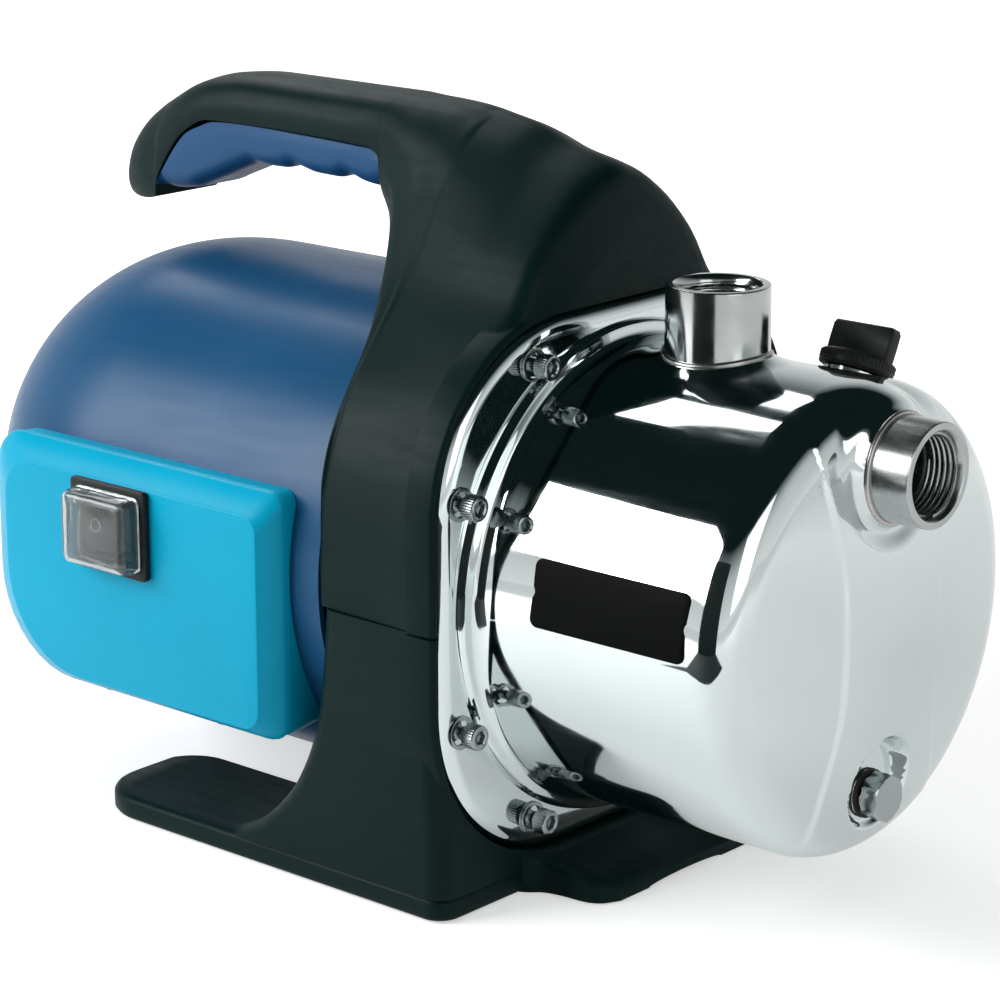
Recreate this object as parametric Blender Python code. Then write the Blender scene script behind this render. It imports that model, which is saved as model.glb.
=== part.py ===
"""Shallow well jet pump: stainless jet pump, motor under a plastic cover, and a carrying stand.

Millimetres in this file, metres in the scene. X runs along the shaft towards the suction
end, -Y is the side with the switch box, Z is up. The origin is on the floor, straight below
the point where the shaft axis meets the front face of the pump flange.
"""
import math

import bmesh
import bpy
from mathutils import Matrix, Vector

MM = 0.001
GAP = 0.3                      # clearance left between neighbouring solids

# Driving dimensions
SHAFT_Z = 121.0                # shaft axis above the floor
BARREL_R = 91.6                # pump casing, outside
BARREL_END = 108.5             # where the dome starts
SHEET = 1.8                    # casing sheet thickness
FLANGE_HALF = 106.8            # half the width of the rounded square flange
FLANGE_CORNER = 70.5
FLANGE_BACK = -8.0             # the flange rim is rolled back to here
SCREW_CIRCLE_R = 106.0
SCREW_ANGLES = (31.0, 65.0)    # from straight up, mirrored into all four corners
SUCTION_Z = SHAFT_Z + 62.3
SUCTION_MOUTH = 147.3
SEAT_X = 126.5                 # flat land pressed round the suction socket
DISCHARGE_X = 45.4
DISCHARGE_TOP = SHAFT_Z + 119.8
SOCKET_R = 20.3
SOCKET_BORE_R = 15.6
DRAIN_Z = SHAFT_Z - 66.5
DRAIN_SEAT = 119.8             # floor of the pocket pressed round the drain plug
DRAIN_BOSS_TOP = 119.9
FILLER_X = 80.5
FILLER_TILT = math.radians(26.0)
FILLER_R = 12.4                # filler neck, outside
MOTOR_FRAME_R = 70.0
JOURNAL_R = 7.4                # shaft where it runs in the bearings
COVER_R = 103.0
COVER_FRONT = -67.3
COVER_TAPER = -200.0
COVER_REAR = -318.0
COVER_WALL = 2.6
STAND_BACK = -62.0
SEAM_Z = SHAFT_Z - 5.0
TUNNEL_R = 82.0
BOX_LOW, BOX_HIGH = SHAFT_Z - 72.0, SHAFT_Z + 34.0

SHAFT = Vector((0.0, 0.0, SHAFT_Z))
X, Y, Z = Vector((1, 0, 0)), Vector((0, 1, 0)), Vector((0, 0, 1))
MATERIALS = {}


def clear_scene():
    for old in list(bpy.data.objects):
        bpy.data.objects.remove(old, do_unlink=True)


def material(name, colour, roughness, metallic=0.0):
    if name not in MATERIALS:
        made = bpy.data.materials.new(name)
        made.use_nodes = True
        shader = made.node_tree.nodes["Principled BSDF"]
        shader.inputs["Base Color"].default_value = (*colour, 1.0)
        shader.inputs["Roughness"].default_value = roughness
        shader.inputs["Metallic"].default_value = metallic
        MATERIALS[name] = made
    return MATERIALS[name]


def steel():
    return material("polished_steel", (0.62, 0.63, 0.62), 0.12, 1.0)


def dark_plastic():
    return material("stand_plastic", (0.02, 0.045, 0.042), 0.45)


def cover_plastic():
    return material("cover_plastic", (0.012, 0.07, 0.2), 0.2)


def box_plastic():
    return material("box_plastic", (0.0, 0.38, 0.68), 0.3)


def black_plastic():
    return material("black_plastic", (0.01, 0.01, 0.012), 0.4)


def rubber():
    return material("seal_rubber", (0.02, 0.02, 0.02), 0.8)


def cast_aluminium():
    return material("cast_aluminium", (0.55, 0.56, 0.57), 0.45, 1.0)


# ---------------------------------------------------------------- mesh tools

def make_object(name, points, faces, finish, pivot=None):
    """One closed body from points in millimetres; the origin goes to the pivot."""
    base = pivot if pivot is not None else Vector((0, 0, 0))
    mesh = bpy.data.meshes.new(name)
    mesh.from_pydata([tuple((Vector(p) - base) * MM) for p in points], [], faces)
    work = bmesh.new()
    work.from_mesh(mesh)
    bmesh.ops.recalc_face_normals(work, faces=work.faces)
    work.to_mesh(mesh)
    work.free()
    mesh.shade_smooth()
    mesh.set_sharp_from_angle(angle=math.radians(35))
    made = bpy.data.objects.new(name, mesh)
    made.location = base * MM
    bpy.context.scene.collection.objects.link(made)
    if finish:
        mesh.materials.append(finish)
    return made


def ring_faces(rows, wrap):
    """Faces between neighbouring rows of point numbers; a row of one point is a pole."""
    faces = []
    pairs = list(zip(rows, rows[1:] + ([rows[0]] if wrap else [])))
    for one, two in (pairs if wrap else pairs[:len(rows) - 1]):
        count = max(len(one), len(two))
        for i in range(count):
            j = (i + 1) % count
            if len(one) == 1:
                faces.append((one[0], two[i], two[j]))
            elif len(two) == 1:
                faces.append((one[i], one[j], two[0]))
            else:
                faces.append((one[i], one[j], two[j], two[i]))
    return faces


def loft(name, rings, finish, pivot=None, wrap=False):
    """Skin over rings of points; flat ends are closed unless the skin wraps round."""
    points, rows = [], []
    for ring in rings:
        rows.append(list(range(len(points), len(points) + len(ring))))
        points.extend(ring)
    faces = ring_faces(rows, wrap)
    if not wrap:
        faces.extend(tuple(row) for row in (rows[0], rows[-1]) if len(row) > 2)
    return make_object(name, points, faces, finish, pivot)


def turned(name, profile, finish, origin=SHAFT, along=X, steps=28, pivot=None):
    """Solid of revolution. The profile is (distance along the axis, radius) points."""
    axis = along.normalized()
    side = axis.orthogonal().normalized()
    up = axis.cross(side)
    rings = []
    for distance, radius in profile:
        centre = origin + axis * distance
        if radius <= 0.0:
            rings.append([centre])
            continue
        turns = [2 * math.pi * i / steps for i in range(steps)]
        rings.append([centre + radius * (math.cos(t) * side + math.sin(t) * up) for t in turns])
    on_axis = profile[0][1] <= 0.0 and profile[-1][1] <= 0.0
    return loft(name, rings, finish, pivot, wrap=not on_axis)


def prism(name, outline, axis, low, high, finish, pivot=None):
    """Flat outline pushed along X, Y or Z from low to high."""
    def place(u, v, w):
        return {"X": (w, u, v), "Y": (u, w, v), "Z": (u, v, w)}[axis]
    rings = [[Vector(place(u, v, w)) for u, v in outline] for w in (low, high)]
    return loft(name, rings, finish, pivot)


def rounded_rectangle(low, high, radius, steps=4):
    """Corner points (u, v) of a rectangle with rounded corners, anticlockwise."""
    centres = ((high[0] - radius, high[1] - radius), (low[0] + radius, high[1] - radius),
               (low[0] + radius, low[1] + radius), (high[0] - radius, low[1] + radius))
    outline = []
    for corner, (u, v) in enumerate(centres):
        for i in range(steps + 1):
            turn = math.pi / 2 * (corner + i / steps)
            outline.append((u + radius * math.cos(turn), v + radius * math.sin(turn)))
    return outline


def rounded_square_radius(turn, half, corner):
    """Distance from the centre to the edge of a rounded square, at an angle."""
    a, b = abs(math.cos(turn)), abs(math.sin(turn))
    inner = half - corner
    straight = half / max(a, b)
    if min(a, b) * straight <= inner:
        return straight
    along = inner * (a + b)
    return along + math.sqrt(max(0.0, along * along - 2 * inner * inner + corner * corner))


def cut(target, cutter, operation="DIFFERENCE"):
    """Boolean with a second object, which is left as a hidden wire guide."""
    step = target.modifiers.new(operation.lower(), "BOOLEAN")
    step.operation = operation
    step.solver = "EXACT"
    step.object = cutter
    cutter.hide_render = True
    cutter.display_type = "WIRE"


def hexagon(name, across, low, high, finish, origin, along, pivot=None):
    return turned(name, [(low, 0), (low, across / math.sqrt(3)), (high, across / math.sqrt(3)),
                         (high, 0)], finish, origin, along, 6, pivot)


# ---------------------------------------------------------------- pump casing

FLANGE_STEPS = ((FLANGE_BACK, 0.0), (-4.6, 0.2), (-1.6, 2.2), (0.0, 7.0))
NECK_STEPS = ((0.0, 98.6), (3.6, 97.0), (5.2, 94.6), (7.0, 92.4), (13.0, BARREL_R))
DOME_STEPS = ((BARREL_END, BARREL_R), (116.4, 87.4), (119.6, 82.6), (121.8, 76.0), (124.2, 66.0),
              (126.2, 54.0), (128.2, 40.0), (130.0, 24.0))
DOME_NOSE = 131.2
BAND_HALF, BAND_EDGE, BAND_RISE = 29.0, 8.0, 2.2
LANDS = ((SUCTION_Z - SHAFT_Z, SEAT_X, 25.0),         # height above the shaft, x and radius
         (DRAIN_Z - SHAFT_Z + 5.0, DRAIN_SEAT, 17.0))


def ease(share):
    """Smooth step from 0 to 1."""
    share = min(1.0, max(0.0, share))
    return share * share * (3 - 2 * share)


def pressed(x, y, z):
    """Dome surface at y, z (from the shaft axis): raised band and the two round lands."""
    radius = math.hypot(y, z)
    x += BAND_RISE * ease((BAND_HALF + BAND_EDGE / 2 - abs(y)) / BAND_EDGE) * ease((BARREL_R - radius) / 12.0)
    for middle, land_x, land_r in LANDS:
        share = ease((land_r + 5.0 - math.hypot(y, z - middle)) / 5.0)
        x += (land_x - x) * share
    return x


def flange_ring(x, inset, turns):
    ring = []
    for t in turns:
        r = rounded_square_radius(t, FLANGE_HALF - inset, FLANGE_CORNER - inset)
        ring.append(Vector((x, r * math.sin(t), SHAFT_Z + r * math.cos(t))))
    return ring


def dome_ring(x, radius, turns, sheet=0.0):
    ring = []
    for t in turns:
        y, z = radius * math.sin(t), radius * math.cos(t)
        ring.append(Vector((pressed(x, y, z) - sheet, y, SHAFT_Z + z)))
    return ring


def barrel_ring(x, radius, turns):
    return [Vector((x, radius * math.sin(t), SHAFT_Z + radius * math.cos(t))) for t in turns]


def pump_casing():
    turns = [2 * math.pi * i / 48 for i in range(48)]
    rings = [flange_ring(x, inset, turns) for x, inset in FLANGE_STEPS]
    rings += [barrel_ring(x, r, turns) for x, r in NECK_STEPS]
    rings += [dome_ring(x, r, turns) for x, r in DOME_STEPS]
    rings.append([Vector((DOME_NOSE + BAND_RISE, 0, SHAFT_Z))])
    rings.append([Vector((DOME_NOSE - SHEET, 0, SHAFT_Z))])
    rings += [dome_ring(x, r, turns, SHEET + 2.6) for x, r in reversed(DOME_STEPS[3:])]
    rings += [barrel_ring(x, r, turns) for x, r in ((114.8, 83.0), (BARREL_END, BARREL_R - SHEET),
                                                   (8.0, BARREL_R - SHEET), (-SHEET, BARREL_R - SHEET))]
    rings += [flange_ring(x, inset, turns) for x, inset in
              ((-SHEET, 8.0), (-4.4, 2.4), (FLANGE_BACK, SHEET))]
    casing = loft("pump_casing", rings, steel(), wrap=True)
    for screw in screw_places():
        cut(casing, turned("screw_hole_cutter", [(-4, 0), (-4, 3.4), (2, 3.4), (2, 0)], None, screw, X, 16))
    holes = ((Vector((0, 0, SUCTION_Z)), X, 90.0, 150.0, SOCKET_R + GAP),
             (Vector((DISCHARGE_X, 0, SHAFT_Z)), Z, 80.0, 100.0, SOCKET_R + GAP),
             (Vector((FILLER_X, 0, SHAFT_Z)), filler_axis(), 80.0, 100.0, FILLER_R + GAP),
             (Vector((0, 0, DRAIN_Z)), X, 100.0, 150.0, 9.5 + GAP))
    for origin, along, low, high, radius in holes:
        cut(casing, turned("port_cutter", [(low, 0), (low, radius), (high, radius), (high, 0)],
                           None, origin, along, 28))


def screw_places():
    places = []
    for angle in SCREW_ANGLES:
        y = SCREW_CIRCLE_R * math.sin(math.radians(angle))
        z = SCREW_CIRCLE_R * math.cos(math.radians(angle))
        places += [Vector((0, side * y, SHAFT_Z + up * z)) for side in (-1, 1) for up in (-1, 1)]
    return places


def flange_screws():
    """Socket head cap screws through the flange corners into the motor bracket."""
    profile = [(-12.0, 0), (-12.0, 2.6), (GAP, 2.6), (GAP, 4.7), (9.6, 4.7), (10.2, 4.1),
               (10.2, 2.5), (6.5, 2.5), (6.5, 0)]
    for number, place in enumerate(screw_places(), 1):
        turned(f"flange_screw_{number}", profile, steel(), place, X, 12)


def tube(name, origin, along, low, high, outer, bore, finish, steps=32, lip=0.8):
    profile = [(low, bore), (low, outer), (high - lip, outer), (high, outer - lip),
               (high, bore + lip), (high - lip, bore)]
    return turned(name, profile, finish, origin, along, steps)


def discharge_socket():
    tube("discharge_socket", Vector((DISCHARGE_X, 0, 0)), Z, SHAFT_Z + 84.0, DISCHARGE_TOP,
         SOCKET_R, SOCKET_BORE_R, steel())


def suction_socket():
    tube("suction_socket", Vector((0, 0, SUCTION_Z)), X, 113.0, SUCTION_MOUTH,
         SOCKET_R, SOCKET_BORE_R, steel())


def filler_axis():
    return Vector((0, math.sin(FILLER_TILT), math.cos(FILLER_TILT)))


FILLER = Vector((FILLER_X, 0, SHAFT_Z))
COLLAR_LOW, COLLAR_HIGH, COLLAR_R = 1.5, 5.9, 14.7
WING_TOP = 18.6
PLUG_SEAT = 93.1               # under face of the filler plug's seal, from the shaft axis


def filler_neck():
    tube("filler_neck", FILLER, filler_axis(), 80.0, PLUG_SEAT - GAP, FILLER_R, 9.8, steel(), 28, 0.5)


def priming_plug_seal():
    turned("priming_plug_seal", [(PLUG_SEAT, 9.8), (PLUG_SEAT, 13.8), (PLUG_SEAT + 1.2, 13.8),
                                 (PLUG_SEAT + 1.2, 9.8)],
           rubber(), FILLER, filler_axis(), 28, FILLER + filler_axis() * PLUG_SEAT)


def priming_plug():
    """Threaded plug with a collar and a wing to turn it by hand."""
    axis, seat = filler_axis(), FILLER + filler_axis() * PLUG_SEAT
    body = turned("priming_plug", [(-9.0, 0), (-9.0, 9.0), (0, 9.4), (COLLAR_LOW, 9.4),
                                   (COLLAR_LOW, COLLAR_R), (COLLAR_HIGH - 0.8, COLLAR_R),
                                   (COLLAR_HIGH, COLLAR_R - 0.8), (COLLAR_HIGH, 0)],
                  black_plastic(), seat, axis, 28, seat)
    cross = X.cross(axis)
    outline = ((-14.0, COLLAR_HIGH - 1.0), (14.0, COLLAR_HIGH - 1.0), (14.0, WING_TOP - 1.0),
               (13.0, WING_TOP), (-13.0, WING_TOP), (-14.0, WING_TOP - 1.0))
    rings = [[seat + X * u + axis * v + cross * w for u, v in outline] for w in (-3.2, 3.2)]
    cut(body, loft("wing_guide", rings, None), "UNION")


def drain_boss():
    tube("drain_boss", Vector((0, 0, DRAIN_Z)), X, 107.0, DRAIN_BOSS_TOP, 9.5, 6.4, steel(), 24, 0.4)


def drain_plug_seal():
    origin = Vector((0, 0, DRAIN_Z))
    low, high = DRAIN_BOSS_TOP + GAP, DRAIN_BOSS_TOP + 1.5
    turned("drain_plug_seal", [(low, 6.6), (low, 9.6), (high, 9.6), (high, 6.6)],
           rubber(), origin, X, 24, origin + X * DRAIN_BOSS_TOP)


def drain_plug():
    origin = Vector((0, 0, DRAIN_Z))
    low = DRAIN_BOSS_TOP + 1.5 + GAP
    body = hexagon("drain_plug", 17.0, low, low + 8.5, steel(), origin, X, origin + X * DRAIN_BOSS_TOP)
    stem = turned("drain_stem", [(low - 13.0, 0), (low - 13.0, 5.6), (low - 12.0, 6.0), (low + 1.0, 6.0), (low + 1.0, 0)],
                  None, origin, X, 16)
    cut(body, stem, "UNION")


# ---------------------------------------------------------------- inside the pump

def casing_seal():
    """Flat ring between the flange and the motor bracket."""
    turned("casing_seal", [(-4.4, 84.0), (-4.4, 88.0), (-1.8 - GAP, 88.0), (-1.8 - GAP, 84.0)],
           rubber(), steps=32)


def motor_bracket():
    """Cast plate that closes the pump casing and carries the motor."""
    turns = [2 * math.pi * i / 32 for i in range(32)]
    inset = 3.6
    front, back = -4.7, -13.5

    def circle(x, radius):
        return [Vector((x, radius * math.sin(t), SHAFT_Z + radius * math.cos(t))) for t in turns]
    rings = [circle(-40.0, 18.3), circle(-40.0, 60.0), circle(-20.0, MOTOR_FRAME_R - 1),
             circle(back, MOTOR_FRAME_R + 6), flange_ring(back, inset, turns),
             flange_ring(front, inset, turns), circle(front, 20.3), circle(-24.0, 18.3)]
    bracket = loft("motor_bracket", rings, cast_aluminium(), wrap=True)
    for screw in screw_places():
        cut(bracket, turned("thread_cutter", [(-20, 0), (-20, 2.9), (0, 2.9), (0, 0)], None, screw, X, 12))


def seal_seat():
    turned("seal_seat", [(-14.0, 9.0), (-14.0, 18.0), (-6.0, 18.0), (-6.0, 9.0)], rubber())


def seal_ring():
    """Turning half of the shaft seal, held on the shaft by its spring."""
    turned("seal_ring", [(-5.6, 7.3), (-5.6, 13.0), (3.0, 13.0), (3.0, 7.3)],
           material("carbon", (0.05, 0.05, 0.05), 0.5))


def impeller():
    """Closed impeller: hub, back and front shrouds with the blades between them."""
    profile = [(3.4, 7.3), (3.4, 66.0), (14.0, 66.0), (14.6, 60.0), (18.0, 19.0), (28.0, 18.0),
               (28.0, 14.5), (18.6, 14.5), (17.6, 10.0), (17.6, 7.3)]
    turned("impeller", profile, material("impeller_plastic", (0.75, 0.73, 0.66), 0.5))


def impeller_nut():
    origin = Vector((17.6 + GAP, 0, SHAFT_Z))
    turned("impeller_nut", [(0, 6.3), (0, 9.0), (6.0, 9.0), (6.0, 6.3)], steel(), origin, X, 6)


def diffuser():
    """Bowl round the impeller that turns its flow back towards the discharge."""
    profile = [(-1.4, 70.0), (-1.4, 86.0), (20.0, 86.0), (30.0, 60.0), (34.0, 24.0), (34.0, 18.6),
               (31.0, 18.6), (31.0, 24.0), (26.5, 58.0), (18.0, 70.0)]
    turned("diffuser", profile, material("impeller_plastic", (0.75, 0.73, 0.66), 0.5))


def venturi_tube():
    profile = [(34.6, 10.5), (34.6, 17.0), (50.0, 14.0), (92.0, 10.0), (100.0, 13.0), (108.0, 13.0),
               (108.0, 11.5), (96.0, 7.0), (60.0, 6.0)]
    turned("venturi_tube", profile, black_plastic(), steps=24)


def jet_nozzle():
    """Nozzle that feeds pressurised water into the venturi tube."""
    turned("jet_nozzle", [(99.0, 3.5), (99.0, 5.2), (110.0, 8.0), (118.0, 8.0), (118.0, 5.0)],
           material("brass", (0.75, 0.55, 0.25), 0.3, 1.0), steps=20)


def suction_elbow():
    """Duct from the suction socket down to the jet, on the shaft axis."""
    rings = []
    for x, up, turn, radius in ((112.6, 62.3, 0, 17.0), (104.0, 59.5, 30, 16.5), (98.0, 51.5, 62, 15.5),
                                (96.5, 40.0, 90, 14.5), (96.5, 14.5, 90, 13.5)):
        lean = math.radians(turn)
        across = Vector((-math.sin(lean), 0, math.cos(lean)))
        centre = Vector((x, 0, SHAFT_Z + up))
        rings.append([centre + radius * (math.cos(t) * Y + math.sin(t) * across)
                      for t in (2 * math.pi * i / 20 for i in range(20))])
    loft("suction_elbow", rings, black_plastic())


# ---------------------------------------------------------------- motor

def motor_shaft():
    turned("motor_shaft", [(-285.0, 0), (-285.0, 6.0), (-236.0, 6.0), (-236.0, JOURNAL_R), (-214.0, JOURNAL_R),
                           (-205.0, 8.4), (-52.0, 8.4), (-41.0, JOURNAL_R), (-26.0, JOURNAL_R), (-24.0, 7.0),
                           (17.0, 7.0), (17.4, 5.0), (26.0, 5.0), (26.0, 0)], steel(), steps=24)


def rotor():
    turned("rotor", [(-190.0, 8.7), (-190.0, 33.5), (-80.0, 33.5), (-80.0, 8.7)],
           material("core_steel", (0.35, 0.34, 0.33), 0.5, 1.0), steps=32)


def stator_core():
    turned("stator_core", [(-185.0, 34.2), (-185.0, 64.0), (-85.0, 64.0), (-85.0, 34.2)],
           material("core_steel", (0.35, 0.34, 0.33), 0.5, 1.0))


def windings():
    """Copper end turns on both sides of the stator core."""
    copper = material("copper", (0.7, 0.3, 0.15), 0.4, 1.0)
    for name, low, high in (("winding_front", -84.7, -66.0), ("winding_rear", -204.0, -185.3)):
        turned(name, [(low, 38.0), (low, 58.0), (high, 58.0), (high, 38.0)], copper, steps=32)


def motor_frame():
    """Aluminium tube round the stator, with cooling ribs."""
    rings = []
    turns = [2 * math.pi * i / 48 for i in range(48)]
    outside = [66.8 if i % 2 else MOTOR_FRAME_R for i in range(48)]
    for x, radii in ((-215.0, [64.3] * 48), (-215.0, outside), (-40.6, outside), (-40.6, [64.3] * 48)):
        rings.append([Vector((x, r * math.sin(t), SHAFT_Z + r * math.cos(t)))
                      for r, t in zip(radii, turns)])
    loft("motor_frame", rings, cast_aluminium(), wrap=True)


def bearings():
    """Ball bearings, drawn as one ring each with running clearance on the shaft."""
    ball_steel = material("bearing_steel", (0.6, 0.6, 0.6), 0.25, 1.0)
    bore = JOURNAL_R + 0.1
    for name, low in (("front_bearing", -38.0), ("rear_bearing", -232.0)):
        turned(name, [(low, bore), (low, 17.9), (low + 11.0, 17.9), (low + 11.0, bore)], ball_steel)


def rear_end_shield():
    turned("rear_end_shield", [(-234.0, 18.2), (-234.0, 30.0), (-226.0, 69.0), (-215.3, 69.0),
                               (-215.3, 50.0), (-221.0, 30.0), (-221.0, 18.2)],
           cast_aluminium())


def cooling_fan():
    """Radial fan on the free end of the shaft."""
    hub = turned("cooling_fan", [(-268.0, 6.3), (-268.0, 14.0), (-258.0, 15.0), (-254.0, 60.0),
                                 (-251.0, 60.0), (-251.0, 6.3)],
                 material("fan_plastic", (0.04, 0.04, 0.045), 0.5))
    for number in range(6):
        turn = Matrix.Rotation(math.pi / 3 * number, 3, "X")
        corners = ((-1.2, 13.0), (1.2, 13.0), (1.2, 58.0), (-1.2, 58.0))
        rings = [[SHAFT + turn @ Vector((x, a, b)) for a, b in corners] for x in (-268.0, -252.0)]
        cut(hub, loft("blade_guide", rings, None), "UNION")


def cover_radius(x):
    """Outside radius of the motor cover: a cylinder that closes in an even round end."""
    reach = (COVER_TAPER - x) / (COVER_TAPER - COVER_REAR)
    return COVER_R * max(0.0, 1.0 - max(0.0, reach) ** 2.2) ** (1 / 1.9)


def motor_cover():
    stations = [COVER_FRONT, COVER_FRONT - 60.0, COVER_TAPER]
    stations += [COVER_TAPER - 118.0 * math.sin(math.radians(a)) for a in (16, 33, 49, 64, 78)]
    outside = [(x, cover_radius(x)) for x in stations]
    inside = [(x + COVER_WALL * (0.15 if r > 100 else 0.8), r - COVER_WALL) for x, r in outside[:-1]]
    inside[0] = (COVER_FRONT, COVER_R - COVER_WALL)
    profile = outside + [(COVER_REAR, 0), (COVER_REAR + COVER_WALL, 0)] + inside[::-1]
    rings = []
    for x, r in profile:
        if r <= 0:
            rings.append([Vector((x, 0, SHAFT_Z))])
        else:
            rings.append([Vector((x, r * math.sin(t), SHAFT_Z + r * math.cos(t)))
                          for t in (2 * math.pi * i / 44 for i in range(44))])
    cover = loft("motor_cover", rings, cover_plastic(), wrap=True)
    vent_slots(cover)
    gland_hole(cover)
    opening = rounded_rectangle((-206.0, BOX_LOW + 24.0), (-91.0, BOX_HIGH - 6.0), 6.0)
    cut(cover, prism("opening_cutter", opening, "Y", -120.0, -70.0, None))


def vent_slots(cover):
    """Air slots in the round rear end."""
    for row in range(-2, 3):
        z = SHAFT_Z + row * 13.0
        half = 30.0 - 4.0 * abs(row)
        outline = rounded_rectangle((-half, z - 2.4), (half, z + 2.4), 2.3, 2)
        cut(cover, prism("vent_cutter", outline, "X", COVER_REAR - 5.0, COVER_REAR + 22.0, None))


def cable_gland():
    """Screwed cable inlet low on the far side of the motor cover."""
    outward = Vector((0, math.sin(math.radians(118)), math.cos(math.radians(118))))
    profile = [(98.0, 4.2), (98.0, 7.6), (COVER_R + GAP, 7.6), (COVER_R + GAP, 11.5), (109.0, 11.5),
               (110.0, 9.5), (121.0, 8.5), (121.0, 4.2)]
    turned("cable_gland", profile, black_plastic(), Vector((-110.0, 0, SHAFT_Z)), outward, 12)


def gland_hole(cover):
    outward = Vector((0, math.sin(math.radians(118)), math.cos(math.radians(118))))
    cut(cover, turned("gland_cutter", [(90, 0), (90, 7.9), (110, 7.9), (110, 0)], None,
                      Vector((-110.0, 0, SHAFT_Z)), outward, 16))


# ---------------------------------------------------------------- switch box

BOX_JOIN, BOX_FRONT = -105.0, -116.0
BOX_LEFT, BOX_RIGHT = -249.0, -82.0
SWITCH_X, SWITCH_Z = -168.5, SHAFT_Z + 8.5
BEZEL_W, BEZEL_H = 43.0, 37.0
SWITCH_FACE = BOX_FRONT - 1.6


def box_outline(inset, right_extra=0.0):
    """Outline of the switch box in X and Z; the rear corners are much rounder."""
    low = (BOX_LEFT + inset * 1.6, BOX_LOW + 6.0 + inset * 0.6)
    high = (BOX_RIGHT - inset * 0.7 - right_extra, BOX_HIGH + 2.0 - inset)
    outline = []
    corners = ((high[0], high[1], 7.0, 0), (low[0], high[1], 16.0, 1), (low[0], low[1], 42.0, 2),
               (high[0], low[1], 9.0, 3))
    for x, z, radius, quarter in corners:
        u = x - radius if quarter in (0, 3) else x + radius
        v = z - radius if quarter in (0, 1) else z + radius
        for i in range(6):
            turn = math.pi / 2 * (quarter + i / 5)
            outline.append((u + radius * math.cos(turn), v + radius * math.sin(turn)))
    return outline


def box_body(name, layers, finish):
    rings = [[Vector((u, y, v)) for u, v in box_outline(inset)] for y, inset in layers]
    return loft(name, rings, finish)


def motor_clearance(body):
    """Hollow that seats a body on the round motor cover."""
    cut(body, turned("seat_cutter", [(-330.0, 0), (-330.0, COVER_R + GAP), (-40.0, COVER_R + GAP),
                                     (-40.0, 0)], None, steps=56))


def switch_box_base():
    base = box_body("switch_box_base", ((-78.0, 3.0), (-95.0, 0.6), (BOX_JOIN + GAP, 0.6)), box_plastic())
    motor_clearance(base)
    inner = box_body("base_cutter", ((-70.0, 9.0), (-110.0, 9.0)), None)
    cut(base, inner)


def switch_box_cover():
    cover = box_body("switch_box_cover", ((BOX_JOIN, 0.0), (-107.0, 0.6), (-111.0, 3.4), (-114.8, 7.6),
                                          (BOX_FRONT, 10.5)), box_plastic())
    inner = box_body("hollow_cutter", ((-90.0, 3.0), (-107.0, 3.6), (-111.0, 7.0), (BOX_FRONT + 2.5, 12.0)), None)
    cut(cover, inner)
    window = rounded_rectangle((SWITCH_X - 17.5, SWITCH_Z - 14.5), (SWITCH_X + 17.5, SWITCH_Z + 14.5), 2.0)
    cut(cover, prism("window_cutter", window, "Y", -130.0, -95.0, None))
    motor_clearance(cover)
    for x, _ in BOX_SCREWS:
        cut(cover, turned("box_screw_cutter", [(-10, 0), (-10, 1.9), (14, 1.9), (14, 0)], None,
                          Vector((x, BOX_SCREW_Y, BOX_LOW + 6.0)), Z, 12))


BOX_SCREW_Y = -109.0
BOX_SCREWS = ((-115.0, 1), (-180.0, 2))


def box_screws():
    """Short screws that hold the box cover from below."""
    for x, number in BOX_SCREWS:
        turned(f"box_screw_{number}", [(-2.0, 0), (-2.0, 3.0), (-GAP, 3.4), (-GAP, 1.6), (7.0, 1.6), (7.0, 0)],
               steel(), Vector((x, BOX_SCREW_Y, BOX_LOW + 6.0)), Z, 12)


def switch_body():
    """Closed case of the mains switch, behind the panel."""
    outline = rounded_rectangle((SWITCH_X - 16.8, SWITCH_Z - 13.8), (SWITCH_X + 16.8, SWITCH_Z + 13.8), 1.5, 2)
    prism("switch_body", outline, "Y", -111.5, -90.0, black_plastic())


def switch_bezel():
    frame = prism("switch_bezel", rounded_rectangle((SWITCH_X - BEZEL_W / 2, SWITCH_Z - BEZEL_H / 2),
                                                    (SWITCH_X + BEZEL_W / 2, SWITCH_Z + BEZEL_H / 2), 2.0, 3),
                  "Y", BOX_FRONT - 3.4, BOX_FRONT - GAP, black_plastic())
    cut(frame, prism("bezel_cutter", rounded_rectangle((SWITCH_X - 15.2, SWITCH_Z - 12.2),
                                                       (SWITCH_X + 15.2, SWITCH_Z + 12.2), 1.5, 2),
                     "Y", -130.0, -100.0, None))


ROCKER_PIVOT = Vector((SWITCH_X, -116.5, SWITCH_Z))


def switch_rocker():
    """Rocker that tips about an upright axis, between its two ends."""
    outline = ((-13.6, 2.0), (-13.6, -2.6), (-7.0, -0.9), (0.0, -0.3), (7.0, -0.9), (13.6, -2.6), (13.6, 2.0),
               (6.0, 3.4), (-6.0, 3.4))
    rings = [[ROCKER_PIVOT + Vector((u, v, w)) for u, v in outline] for w in (-10.8, 10.8)]
    loft("switch_rocker", rings, material("rocker_plastic", (0.03, 0.03, 0.03), 0.35), ROCKER_PIVOT)


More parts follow.
